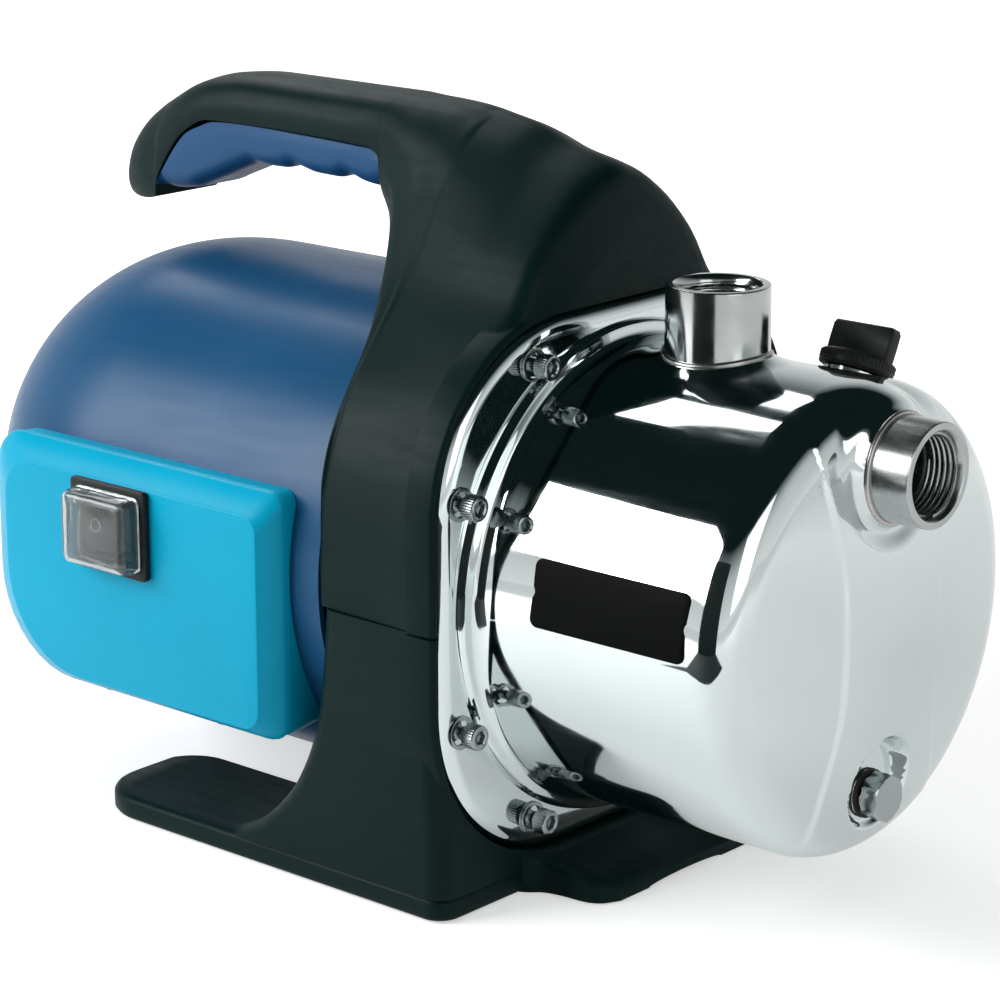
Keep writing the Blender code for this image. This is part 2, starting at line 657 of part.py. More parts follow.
def switch_boot():
    """Clear flexible hood over the rocker, clamped by the bezel."""
    low, high = BOX_FRONT - 3.4 - GAP, -129.0
    layers = ((low, 0.0), (high + 1.2, 1.6), (high, 3.2))
    boot = loft("switch_boot", [[Vector((u, y, v)) for u, v in rounded_rectangle(
        (SWITCH_X - 19.0 + k, SWITCH_Z - 16.0 + k), (SWITCH_X + 19.0 - k, SWITCH_Z + 16.0 - k), 3.4, 3)]
        for y, k in layers], material("clear_boot", (0.5, 0.55, 0.55), 0.1))
    cut(boot, loft("boot_cutter", [[Vector((u, y, v)) for u, v in rounded_rectangle(
        (SWITCH_X - 17.6 + k, SWITCH_Z - 14.6 + k), (SWITCH_X + 17.6 - k, SWITCH_Z + 14.6 - k), 2.4, 3)]
        for y, k in ((low + 5.0, 0.0), (high + 1.3, 2.6))], None))


def capacitor():
    turned("capacitor", [(-148.0, 0), (-148.0, 13.0), (-147.0, 14.0), (-97.0, 14.0), (-96.0, 13.0), (-96.0, 0)],
           material("capacitor_case", (0.8, 0.8, 0.78), 0.4), Vector((0, -88.0, SHAFT_Z - 29.0)), X, 24)


def terminal_block():
    outline = rounded_rectangle((-196.0, SHAFT_Z - 44.0), (-160.0, SHAFT_Z - 28.0), 1.5, 2)
    prism("terminal_block", outline, "Y", -99.0, -84.0, material("terminal_plastic", (0.85, 0.85, 0.8), 0.5))


def side_label():
    """Blank label that follows the round casing."""
    rings = []
    half = 13.0
    for x, soft in ((30.5, 3.0), (31.5, 0.8), (33.5, 0.0), (99.5, 0.0), (101.5, 0.8), (102.5, 3.0)):
        rows = []
        for radius, order in ((BARREL_R + 0.35, 1), (BARREL_R + 0.75, -1)):
            for i in range(9)[::order]:
                z = 16.0 + (i / 4 - 1) * (half - soft)
                rows.append(Vector((x, -math.sqrt(radius * radius - z * z), SHAFT_Z + z)))
        rings.append(rows)
    loft("side_label", rings, black_plastic())


# ---------------------------------------------------------------- stand

# Hood and handle in sections across X: (x, half outline from the lower edge to the top middle),
# heights from the shaft axis. The last sections leave room for the grip under the handle.
HOOD_SECTIONS = (
    (-1.0, ((101, -4.7), (100.5, 24), (96, 46), (85, 68), (68, 89), (53.5, 104), (42, 122), (26, 138.5),
            (12, 147), (0, 150))),
    (-2.6, ((105.5, -4.7), (105, 24.5), (100.5, 48), (89, 71), (72, 92.5), (57.5, 107.5), (45.8, 125.5),
            (28.5, 142.5), (13.3, 151.5), (0, 155))),
    (-8.5, ((109, -4.7), (108.5, 25), (103.5, 50), (92, 73.5), (75, 95.5), (60, 110.5), (48, 129),
            (30, 146.5), (14, 156), (0, 159.5))),
    (-30.0, ((108, -4.7), (107, 25), (102.5, 50), (91, 74), (73, 97), (59, 112.5), (47, 131.5), (30, 150),
             (14, 161), (0, 165))),
    (-45.0, ((107.5, -4.7), (106.5, 25), (102, 50), (90, 75), (71, 98), (57, 114.5), (44, 135), (28, 155),
             (14, 166), (0, 170.5))),
    (-62.0, ((106.5, -4.7), (105.5, 25), (101, 50), (89, 76), (68.5, 99), (53, 117), (40, 139.5), (27, 158.5),
             (13, 169.5), (0, 173.7))),
    (-64.5, ((103.5, 40), (101, 51), (95, 65), (85, 80), (67, 101), (51, 119), (38, 141), (26, 160),
             (13, 170.3), (0, 174))),
    (-70.0, ((71, 93), (68, 97), (63, 102.5), (57, 109), (50, 118), (43, 130), (35, 144.5), (26, 160.5),
             (13, 171.2), (0, 175))),
    (-78.0, ((56, 106), (54, 109.5), (51, 114), (47.5, 119.5), (42.5, 127.5), (37.5, 137), (31.5, 149),
             (24, 163), (13, 172.5), (0, 175.7))),
    (-88.0, ((40, 121), (39, 125), (37.5, 129), (35.5, 134), (33, 140), (30, 148), (27, 157), (22, 166),
             (13, 173.4), (0, 176.2))),
    (-98.0, ((28, 132), (28, 136), (27.5, 140), (27, 144), (26, 149), (25, 155), (23.5, 162), (19.5, 168.8),
             (12, 174.2), (0, 176.5))),
    (-109.8, ((20.5, 142), (21, 145), (21, 148), (21, 151), (21, 155), (21, 159.5), (20.3, 164.8),
              (17.8, 170.5), (11.5, 175.2), (0, 176.8))),
    (-110.6, ((20.5, 152), (20.8, 153.5), (21, 155), (21, 157), (21, 159.5), (20.8, 162.5), (19.9, 166.5),
              (17.5, 171), (11.3, 175.3), (0, 176.8))),
    (-117.0, ((20.2, 156), (20.5, 157), (20.6, 158.2), (20.6, 159.8), (20.5, 161.8), (20.2, 164.2),
              (19.3, 167.6), (17, 171.6), (11, 175.4), (0, 176.8))),
    (-187.0, ((20, 157.6), (20.3, 158.4), (20.4, 159.4), (20.4, 160.8), (20.3, 162.6), (20, 164.8),
              (19, 168), (16.8, 171.8), (11, 175.5), (0, 176.8))),
    (-209.0, ((20, 157), (20.2, 157.8), (20.3, 158.8), (20.3, 160), (20.2, 161.6), (19.8, 163.6),
              (18.8, 166.6), (16.4, 170.2), (10.6, 173.6), (0, 174.8))),
    (-223.0, ((19.8, 151), (20, 152), (20.1, 153.2), (20.1, 154.8), (19.9, 156.8), (19.4, 159.4),
              (18.2, 162.8), (15.8, 166.4), (10.2, 169.8), (0, 171))),
    (-235.0, ((19.3, 138.5), (19.5, 140.5), (19.5, 143), (19.4, 146), (19, 149.2), (18.3, 152.6),
              (17.1, 156.4), (14.8, 160.4), (9.6, 164), (0, 165.3))),
    (-242.0, ((18.6, 127), (18.8, 130), (18.8, 133.5), (18.6, 137.5), (18.2, 142), (17.5, 146.6),
              (16.2, 151.4), (14, 156), (9, 160.2), (0, 161.8))),
    (-243.2, ((18.4, 120.5), (18.6, 124.5), (18.6, 129), (18.4, 134), (18, 139.5), (17.2, 145), (16, 150.4),
              (13.8, 155.4), (8.9, 159.6), (0, 161.2))),
    (-256.0, ((15, 118.5), (15.6, 121.5), (15.8, 125), (15.8, 129), (15.5, 133.5), (14.8, 138.2),
              (13.6, 143), (11.6, 147.4), (7.6, 151.2), (0, 152.6))),
    (-267.0, ((10, 120), (10.8, 122), (11.2, 124.4), (11.2, 127), (10.8, 129.8), (10.2, 132.6),
              (9.2, 135.6), (7.8, 138.4), (5, 140.8), (0, 141.8))),
    (-272.5, ((4.5, 124.5), (5, 125.3), (5.2, 126.2), (5.2, 127.2), (5, 128.4), (4.7, 129.6), (4.2, 130.8),
              (3.4, 131.8), (2.2, 132.6), (0, 133))),
)


def mirrored_ring(x, half):
    """Closed ring from a half outline, lower right over the top to lower left."""
    right = [Vector((x, y, SHAFT_Z + z)) for y, z in half]
    left = [Vector((x, -y, SHAFT_Z + z)) for y, z in half[-2::-1]]
    return right + left


def shrink_ring(ring, amount, x):
    """The ring moved in from the side by an even amount, for a wall of that thickness."""
    inner = []
    for number, point in enumerate(ring):
        before, after = ring[number - 1], ring[(number + 1) % len(ring)]
        if number in (0, len(ring) - 1):
            side = math.copysign(1.0, point.y)
            inner.append(Vector((x, point.y - side * amount, point.z - 4.0)))
            continue
        edge = (after - before).normalized()
        outward = Vector((0, edge.z, -edge.y))
        inner.append(Vector((x, point.y - outward.y * amount, point.z - outward.z * amount)))
    return inner


def stand_hood():
    """Upper half of the stand: a hood over the motor bracket that runs out into the handle."""
    hood = loft("stand_hood", [mirrored_ring(x, half) for x, half in HOOD_SECTIONS], dark_plastic())
    inner = [shrink_ring(mirrored_ring(*HOOD_SECTIONS[i]), 3.6, x) for i, x in
             ((2, -5.0), (3, -30.0), (4, -45.0), (5, -58.0))]
    cut(hood, loft("hood_cutter", inner, None))
    stand_openings(hood)


def stand_openings(body):
    """Recess for the flange and bracket, tunnel for the motor, and the seat on its cover."""
    recess = loft("recess_cutter", [flange_ring(x, -0.6, [2 * math.pi * i / 56 for i in range(56)])
                                    for x in (-16.0, 6.0)], None)
    cut(body, recess)
    cut(body, turned("tunnel_cutter", [(-80.0, 0), (-80.0, TUNNEL_R), (-10.0, TUNNEL_R), (-10.0, 0)],
                     None, steps=40))
    cut(body, turned("cover_cutter", [(-330.0, 0), (-330.0, COVER_R + 0.9), (COVER_FRONT + 0.9, COVER_R + 0.9),
                                      (COVER_FRONT + 0.9, 0)], None, steps=56))


GRIP_LINE = (
    (-241.4, 125.2, 126.4), (-234.6, 124.6, 137.0), (-223.2, 126.0, 149.6), (-215.0, 129.2, 153.4),
    (-206.5, 132.6, 156.2), (-195.0, 137.4, 156.9), (-185.0, 140.6, 157.0), (-177.0, 140.2, 156.9),
    (-170.0, 140.4, 156.8), (-162.3, 142.2, 156.6), (-151.0, 140.2, 156.3), (-140.0, 140.0, 156.0),
    (-132.3, 142.0, 155.7), (-123.5, 139.8, 155.4), (-117.2, 139.2, 155.2), (-111.2, 140.6, 151.0),
    (-110.2, 142.0, 143.2),
)


def handle_grip():
    """Softer insert under the handle with finger hollows."""
    rings = []
    for x, low, high in GRIP_LINE:
        width = 19.0
        middle = min(high - 0.4, low + 7.0)
        near = min(high - 0.6, low + 2.2)
        half = ((width, high), (width + 0.4, middle), (width - 2.5, near), (width * 0.55, low))
        right = [Vector((x, y, SHAFT_Z + z)) for y, z in half]
        left = [Vector((x, -y, SHAFT_Z + z)) for y, z in reversed(half)]
        rings.append(right + left)
    loft("handle_grip", rings, cover_plastic())


BASE_SECTIONS = ((SEAM_Z, STAND_BACK, 109.0), (81.0, -66.0, 108.4), (61.0, -71.0, 107.8), (41.0, -80.5, 107.2),
                 (29.0, -90.0, 106.9), (19.0, -101.0, 106.6), (13.0, -110.0, 106.4), (9.0, -120.0, 106.2))


def base_ring(z, back, half, inset=0.0):
    outline = rounded_rectangle((back + inset, -half + inset), (-1.0 - inset, half - inset), 9.0, 4)
    return [Vector((u, v, z)) for u, v in outline]


def stand_base():
    """Lower half of the stand with its two rear feet and the front foot."""
    base = loft("stand_base", [base_ring(*row) for row in BASE_SECTIONS], dark_plastic())
    cut(base, rear_feet(), "UNION")
    cut(base, front_foot(), "UNION")
    cut(base, prism("notch_cutter", notch_outline(), "Z", -5.0, 90.0, None))
    inner = [base_ring(z, back, half, 3.6) for z, back, half in
             ((130.0, STAND_BACK, 109.0), (81.0, -66.0, 108.4), (61.0, -66.0, 107.8), (12.0, -66.0, 107.2))]
    cut(base, loft("base_hollow", inner, None))
    stand_openings(base)


FOOT_BACK = -200.0
FOOT_HALF = 106.0


def notch_outline():
    """Gap between the rear feet; it widens round their tips."""
    back, half, tip, corner = FOOT_BACK - 20.0, 47.0, 20.0, 18.0
    side = [(back, half + tip)]
    for i in range(6):
        turn = math.pi / 2 * i / 5
        side.append((FOOT_BACK + tip - tip * math.cos(turn), half + tip - tip * math.sin(turn)))
    for i in range(5):
        turn = math.pi / 2 * (1 - i / 4)
        side.append((-66.0 - corner + corner * math.cos(turn), half - corner + corner * math.sin(turn)))
    return [(u, -v) for u, v in side] + side[::-1]


def foot_outline(inset):
    """Plan of the foot plate: wide round corners at the back, small ones in front."""
    outline = []
    for corner, radius in enumerate((9.0, 26.0, 26.0, 9.0)):
        u = -1.0 - inset - radius if corner in (0, 3) else FOOT_BACK + inset + radius
        v = FOOT_HALF - inset - radius if corner in (0, 1) else radius + inset - FOOT_HALF
        for i in range(6):
            turn = math.pi / 2 * (corner + i / 5)
            outline.append((u + radius * math.cos(turn), v + radius * math.sin(turn)))
    return outline


def rear_feet():
    """Flat plate with both rear feet; the notch between them is cut afterwards."""
    rings = []
    for z, inset in ((0.0, 1.5), (1.5, 0.0), (7.5, 0.0), (9.3, 1.8)):
        outline = foot_outline(inset)
        rings.append([Vector((u, v, z)) for u, v in outline])
    return loft("feet_guide", rings, None)


def front_foot():
    """Low foot in front, arched between its two resting ends."""
    rings = []
    for x, half, top, arch in ((-6.0, 62.0, 19.0, 0.0), (1.0, 58.0, 15.4, 0.0), (6.0, 54.0, 13.0, 0.0),
                               (14.0, 52.0, 10.4, 3.4), (24.0, 51.0, 8.6, 5.5), (30.0, 48.0, 7.2, 5.5),
                               (34.0, 41.0, 5.0, 5.5)):
        lower = [(half - 18.0 * i / 3, 0.0) for i in range(4)]
        lower += [((half - 18.0) * math.cos(math.pi * i / 8), arch * math.sin(math.pi * i / 8)) for i in range(1, 8)]
        lower += [(-y, z) for y, z in reversed(lower[:4])]
        upper = [(-half, top - 2.5), (-half + 2.5, top)]
        upper += [(half - 2.5, top), (half, top - 2.5)]
        rings.append([Vector((x, y, z + (arch * 0.5 if abs(y) < half - 18 and z > 6 else 0.0)))
                      for y, z in lower + upper])
    return loft("front_foot_guide", rings, None)


def build():
    clear_scene()
    for piece in (pump_casing, discharge_socket, suction_socket, filler_neck, priming_plug_seal, priming_plug,
                  drain_boss, drain_plug_seal, drain_plug, flange_screws, casing_seal, motor_bracket,
                  seal_seat, seal_ring, impeller, impeller_nut, diffuser, venturi_tube, jet_nozzle,
                  suction_elbow, motor_shaft, rotor, stator_core, windings, motor_frame, bearings,
                  rear_end_shield, cooling_fan, motor_cover, cable_gland, switch_box_base, switch_box_cover,
                  box_screws, switch_body, switch_bezel, switch_rocker, switch_boot, capacitor,
                  terminal_block, side_label, stand_hood, handle_grip, stand_base):
        piece()


if __name__ == "__main__":
    build()
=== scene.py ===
"""Looks of a portable garden jet pump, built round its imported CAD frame."""

import math

import bmesh
import bpy
from bpy.props import FloatProperty, FloatVectorProperty, IntProperty, PointerProperty
from bpy.types import Operator, Panel, PropertyGroup
from mathutils import Euler, Matrix, Vector


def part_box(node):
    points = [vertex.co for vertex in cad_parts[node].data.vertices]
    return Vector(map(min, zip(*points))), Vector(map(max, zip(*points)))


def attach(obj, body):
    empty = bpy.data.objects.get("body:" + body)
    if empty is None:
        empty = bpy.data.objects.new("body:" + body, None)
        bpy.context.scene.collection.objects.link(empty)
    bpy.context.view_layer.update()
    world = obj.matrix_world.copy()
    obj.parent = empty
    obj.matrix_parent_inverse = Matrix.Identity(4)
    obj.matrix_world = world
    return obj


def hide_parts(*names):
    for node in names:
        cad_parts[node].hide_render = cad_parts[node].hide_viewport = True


bl_info = {
    "name": "Garden Jet Pump",
    "version": (1, 0, 0),
    "blender": (4, 5, 0),
    "location": "View3D > Sidebar > Jet Pump",
    "description": "Builds the looks of a portable garden jet pump round its packed frame",
    "category": "Add Mesh",
}

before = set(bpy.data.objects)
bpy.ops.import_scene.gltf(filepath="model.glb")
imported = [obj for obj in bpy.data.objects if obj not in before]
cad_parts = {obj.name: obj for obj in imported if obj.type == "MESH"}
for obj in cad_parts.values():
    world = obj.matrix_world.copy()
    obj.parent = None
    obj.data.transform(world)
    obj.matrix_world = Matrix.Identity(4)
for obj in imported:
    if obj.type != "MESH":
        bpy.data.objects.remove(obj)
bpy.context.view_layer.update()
MM = 0.001
X, Y, Z = Vector((1, 0, 0)), Vector((0, 1, 0)), Vector((0, 0, 1))


def node_box(node):
    """Lowest and highest corner of a CAD node, in millimetres."""
    low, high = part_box(node)
    return low / MM, high / MM


# Driving dimensions in millimetres, x = 0 at the front of the flange: from the frame where a node's
# box gives them, otherwise repeated from the part's source.
COVER_LOW, COVER_HIGH = node_box("motor_cover")
CASING_LOW, CASING_HIGH = node_box("pump_casing")
SUCTION_LOW, SUCTION_HIGH = node_box("suction_socket")
OUTLET_LOW, OUTLET_HIGH = node_box("discharge_socket")
BOX_LOW, BOX_HIGH = node_box("switch_box_cover")
BEZEL_LOW, BEZEL_HIGH = node_box("switch_bezel")
BOOT_LOW, BOOT_HIGH = node_box("switch_boot")
DRAIN_LOW, DRAIN_HIGH = node_box("drain_plug")

SHAFT_Z = (COVER_LOW.z + COVER_HIGH.z) / 2
COVER_R = (COVER_HIGH.z - COVER_LOW.z) / 2
FLANGE_HALF = (CASING_HIGH.y - CASING_LOW.y) / 2
FLANGE_CORNER = 70.5
BARREL_R = 91.6
SOCKET_R = (SUCTION_HIGH.y - SUCTION_LOW.y) / 2
SOCKET_BORE = 15.6
SUCTION_Z = (SUCTION_LOW.z + SUCTION_HIGH.z) / 2
OUTLET_X = (OUTLET_LOW.x + OUTLET_HIGH.x) / 2
DRAIN_Z = (DRAIN_LOW.z + DRAIN_HIGH.z) / 2
FILLER_X, FILLER_TILT, PLUG_SEAT = 80.5, math.radians(26.0), 93.1
FILLER_R, FILLER_BORE = 12.4, 9.8
BOSS_TOP = 119.9
SWITCH_X = (BEZEL_LOW.x + BEZEL_HIGH.x) / 2
SWITCH_Z = (BEZEL_LOW.z + BEZEL_HIGH.z) / 2
SHAFT = Vector((0.0, 0.0, SHAFT_Z))
FILLER_AXIS = Vector((0, math.sin(FILLER_TILT), math.cos(FILLER_TILT)))
FILLER_SEAT = Vector((FILLER_X, 0, SHAFT_Z)) + FILLER_AXIS * PLUG_SEAT
SCREW_CIRCLE_R, SCREW_ANGLES = 106.0, (31.0, 65.0)


# ---------------------------------------------------------------- curves and meshes

def steady_slopes(places, values):
    """Slopes of a curve through the values that never swings past them."""
    steps = [(values[i + 1] - values[i]) / max(places[i + 1] - places[i], 1e-9)
             for i in range(len(values) - 1)]
    slopes = [steps[0]]
    for before, after in zip(steps, steps[1:]):
        slopes.append(0.0 if before * after <= 0 else 2 * before * after / (before + after))
    return slopes + [steps[-1]]


def steady_curve(places, values, wanted):
    """Values at the wanted places on a smooth curve through the given ones."""
    slopes = steady_slopes(places, values)
    out, i = [], 0
    for place in wanted:
        while i < len(places) - 2 and place > places[i + 1]:
            i += 1
        width = max(places[i + 1] - places[i], 1e-9)
        t = min(1.0, max(0.0, (place - places[i]) / width))
        out.append(values[i] * (1 + 2 * t) * (1 - t) ** 2 + slopes[i] * width * t * (1 - t) ** 2
                   + values[i + 1] * t * t * (3 - 2 * t) - slopes[i + 1] * width * t * t * (1 - t))
    return out


def smooth_points(points, parts):
    """The points joined by a smooth curve with that many parts in each span."""
    places = [float(i) for i in range(len(points))]
    wanted = [i / parts for i in range((len(points) - 1) * parts + 1)]
    return list(zip(*(steady_curve(places, [p[axis] for p in points], wanted)
                      for axis in range(len(points[0])))))


def ease(share):
    """Smooth step from 0 to 1."""
    share = min(1.0, max(0.0, share))
    return share * share * (3 - 2 * share)


def rounded_square_radius(turn, half, corner):
    """Distance from the middle to the edge of a rounded square, in the direction of the turn."""
    c, s = abs(math.cos(turn)), abs(math.sin(turn))
    flat = half - corner
    if half * min(c, s) <= flat * max(c, s):
        return half / max(c, s)
    along = flat * (c + s)
    return along + math.sqrt(max(0.0, along * along - 2 * flat * flat + corner * corner))


def rounded_rectangle(low, high, radius, steps=6):
    """Points of a rounded rectangle, in order round its edge."""
    outline = []
    for corner in range(4):
        u = high[0] - radius if corner in (0, 3) else low[0] + radius
        v = high[1] - radius if corner in (0, 1) else low[1] + radius
        for i in range(steps + 1):
            turn = math.pi / 2 * (corner + i / steps)
            outline.append((u + radius * math.cos(turn), v + radius * math.sin(turn)))
    return outline


def circle_turns(count):
    """Even turns round a full circle."""
    return [2 * math.pi * i / count for i in range(count)]


def loft(rings, wrap=False):
    """Points and faces of a skin over rings of equal length; a ring of one point is a pole."""
    points, starts, faces = [], [], []
    for ring in rings:
        starts.append(len(points))
        points += [Vector(p) for p in ring]
    pairs = list(zip(range(len(rings)), range(1, len(rings))))
    if wrap:
        pairs.append((len(rings) - 1, 0))
    for a, b in pairs:
        n, m = len(rings[a]), len(rings[b])
        if n == 1 and m == 1:
            continue
        for i in range(max(n, m)):
            j = (i + 1) % max(n, m)
            if n == 1:
                faces.append((starts[a], starts[b] + i, starts[b] + j))
            elif m == 1:
                faces.append((starts[a] + i, starts[b], starts[a] + j))
            else:
                faces.append((starts[a] + i, starts[b] + i, starts[b] + j, starts[a] + j))
    if not wrap:
        for k, ring in ((0, rings[0]), (len(rings) - 1, rings[-1])):
            if len(ring) > 1:
                faces.append(tuple(range(starts[k], starts[k] + len(ring))))
    return points, faces


def turned(profile, origin=SHAFT, along=X, steps=96, wrap=None):
    """Solid of revolution from (distance along the axis, radius) points."""
    axis = along.normalized()
    side = axis.orthogonal().normalized()
    up = axis.cross(side)
    rings = []
    for distance, radius in profile:
        centre = origin + axis * distance
        if radius <= 0:
            rings.append([centre])
        else:
            rings.append([centre + radius * (math.cos(t) * side + math.sin(t) * up)
                          for t in circle_turns(steps)])
    on_axis = profile[0][1] <= 0 and profile[-1][1] <= 0
    return loft(rings, wrap=not on_axis if wrap is None else wrap)


def prism(outline, axis, low, high):
    """Straight body on an outline, along the named axis."""
    place = {"X": lambda u, v, w: Vector((w, u, v)), "Y": lambda u, v, w: Vector((u, w, v)),
             "Z": lambda u, v, w: Vector((u, v, w))}[axis]
    return loft([[place(u, v, w) for u, v in outline] for w in (low, high)])


def joined(*parts):
    """Several point and face lists as one."""
    points, faces = [], []
    for some_points, some_faces in parts:
        start = len(points)
        points += some_points
        faces += [tuple(start + i for i in face) for face in some_faces]
    return points, faces


def new_object(name, shape, finish=None, sharp=35.0):
    """Mesh object from points in millimetres, shaded smooth except over sharp edges."""
    points, faces = shape
    mesh = bpy.data.meshes.new(name)
    mesh.from_pydata([p * MM for p in points], [], faces)
    obj = bpy.data.objects.new(name, mesh)
    bpy.context.scene.collection.objects.link(obj)
    tidy_mesh(mesh, sharp)
    if finish:
        mesh.materials.append(finish)
    return obj


def tidy_mesh(mesh, sharp=35.0):
    """Merges doubles, turns faces out and marks the sharp edges."""
    work = bmesh.new()
    work.from_mesh(mesh)
    bmesh.ops.remove_doubles(work, verts=work.verts, dist=1e-7)
    bmesh.ops.dissolve_degenerate(work, edges=work.edges, dist=1e-7)
    bmesh.ops.recalc_face_normals(work, faces=work.faces)
    for face in work.faces:
        face.smooth = True
    limit = math.radians(sharp)
    for edge in work.edges:
        edge.smooth = not (len(edge.link_faces) == 2 and edge.calc_face_angle(0.0) > limit)
    work.to_mesh(mesh)
    work.free()


def bake(obj, sharp=None):
    """Replaces the object's mesh by its evaluated one and drops its modifiers."""
    graph = bpy.context.evaluated_depsgraph_get()
    graph.update()
    mesh = bpy.data.meshes.new_from_object(obj.evaluated_get(graph))
    obj.modifiers.clear()
    obj.data = mesh
    if sharp is not None:
        tidy_mesh(mesh, sharp)
    return obj


def cut(obj, *cutters, operation="DIFFERENCE", sharp=35.0):
    """Takes the cutting bodies away from the object (or joins them to it)."""
    helpers = []
    for number, cutter in enumerate(cutters):
        helper = new_object(f"{obj.name}_cutter_{number}", cutter)
        helpers.append(helper)
        modifier = obj.modifiers.new("cut", "BOOLEAN")
        modifier.operation = operation
        modifier.solver = "EXACT"
        modifier.object = helper
    bake(obj, sharp)
    for helper in helpers:
        bpy.data.objects.remove(helper)
    return obj


def soften(obj, width, angle=40.0, segments=2):
    """Small rounding along the object's sharp edges."""
    modifier = obj.modifiers.new("rounding", "BEVEL")
    modifier.width = width * MM
    modifier.segments = segments
    modifier.limit_method = "ANGLE"
    modifier.angle_limit = math.radians(angle)
    modifier.harden_normals = False
    return bake(obj, sharp=42.0)


def place(obj, body, slot_name, *nodes):
    """Hands a finished piece to its body, in place of the CAD nodes it stands for."""
    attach(obj, body)
    if nodes:
        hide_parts(*nodes)
    return obj


# ---------------------------------------------------------------- shader groups

def new_group(name, inputs, outputs):
    """Empty shader group with the given sockets, and its two end nodes."""
    tree = bpy.data.node_groups.new(name, "ShaderNodeTree")
    for label, kind, value in inputs:
        item = tree.interface.new_socket(label, in_out="INPUT", socket_type=kind)
        if value is not None:
            item.default_value = value
    for label, kind in outputs:
        tree.interface.new_socket(label, in_out="OUTPUT", socket_type=kind)
    return tree, tree.nodes.new("NodeGroupInput"), tree.nodes.new("NodeGroupOutput")


def add(tree, kind, settings=(), **inputs):
    """New node; inputs are values or sockets, under their names with _ for a space."""
    node = tree.nodes.new(kind)
    for key, value in settings:
        setattr(node, key, value)
    for key, value in inputs.items():
        by_number = key[0] == "i" and key[1:].isdigit()
        socket = node.inputs[int(key[1:])] if by_number else node.inputs[key.replace("_", " ")]
        if isinstance(value, bpy.types.NodeSocket):
            tree.links.new(value, socket)
        else:
            socket.default_value = value
    return node


def math_value(tree, operation, a, b=0.0, clamp=False):
    """Result of a math node on two values or sockets."""
    node = add(tree, "ShaderNodeMath", (("operation", operation), ("use_clamp", clamp)), i0=a, i1=b)
    return node.outputs[0]


def build_grain_group():
    """Fine moulded grain: small pits with a slower swell."""
    tree, given, result = new_group("moulded_grain", (("Size", "NodeSocketFloat", 900.0),
                                                      ("Swell", "NodeSocketFloat", 0.2)),
                                    (("Height", "NodeSocketFloat"), ("Mask", "NodeSocketFloat")))
    where = add(tree, "ShaderNodeTexCoord").outputs["Object"]
    pits = add(tree, "ShaderNodeTexVoronoi", (("feature", "SMOOTH_F1"),), Vector=where,
               Scale=given.outputs["Size"])
    slow = add(tree, "ShaderNodeTexNoise", (), Vector=where, Scale=38.0, Detail=3.0)
    swell = math_value(tree, "MULTIPLY", slow.outputs["Fac"], given.outputs["Swell"])
    tree.links.new(math_value(tree, "ADD", pits.outputs["Distance"], swell), result.inputs["Height"])
    tree.links.new(slow.outputs["Fac"], result.inputs["Mask"])
    return tree


def build_marks_group():
    """Handling marks: smudges and faint wiping streaks, as a roughness between two values."""
    tree, given, result = new_group(
        "handling_marks", (("Clean", "NodeSocketFloat", 0.1), ("Smudged", "NodeSocketFloat", 0.2),
                           ("Size", "NodeSocketFloat", 14.0)),
                           (("Roughness", "NodeSocketFloat"), ("Mask", "NodeSocketFloat")))
    where = add(tree, "ShaderNodeTexCoord").outputs["Object"]
    smudge = add(tree, "ShaderNodeTexNoise", (), Vector=where, Scale=given.outputs["Size"], Detail=6.0,
                 Roughness=0.62)
    stretched = add(tree, "ShaderNodeMapping", (), Vector=where, Scale=(30.0, 210.0, 210.0))
    streak = add(tree, "ShaderNodeTexNoise", (), Vector=stretched.outputs[0], Scale=1.0, Detail=2.0)
    blend = math_value(tree, "MULTIPLY", smudge.outputs["Fac"], streak.outputs["Fac"])
    mask = add(tree, "ShaderNodeMapRange", (), Value=blend, i1=0.16, i2=0.42).outputs[0]
    mixed = add(tree, "ShaderNodeMapRange", (), Value=mask, i3=given.outputs["Clean"],
                i4=given.outputs["Smudged"])
    tree.links.new(mixed.outputs[0], result.inputs["Roughness"])
    tree.links.new(mask, result.inputs["Mask"])
    return tree


def build_tone_group():
    """Slow drift of a colour between itself and a second tone."""
    tree, given, result = new_group(
        "tone_drift", (("Colour", "NodeSocketColor", (0.5, 0.5, 0.5, 1)),
                       ("Second", "NodeSocketColor", (0.4, 0.4, 0.4, 1)),
                       ("Size", "NodeSocketFloat", 9.0)), (("Colour", "NodeSocketColor"),))
    where = add(tree, "ShaderNodeTexCoord").outputs["Object"]
    drift = add(tree, "ShaderNodeTexNoise", (), Vector=where, Scale=given.outputs["Size"], Detail=4.0)
    share = add(tree, "ShaderNodeMapRange", (), Value=drift.outputs["Fac"], i1=0.38, i2=0.66).outputs[0]
    mixed = add(tree, "ShaderNodeMix", (("data_type", "RGBA"),), Factor=share)
    tree.links.new(given.outputs["Colour"], mixed.inputs[6])
    tree.links.new(given.outputs["Second"], mixed.inputs[7])
    tree.links.new(mixed.outputs[2], result.inputs["Colour"])
    return tree


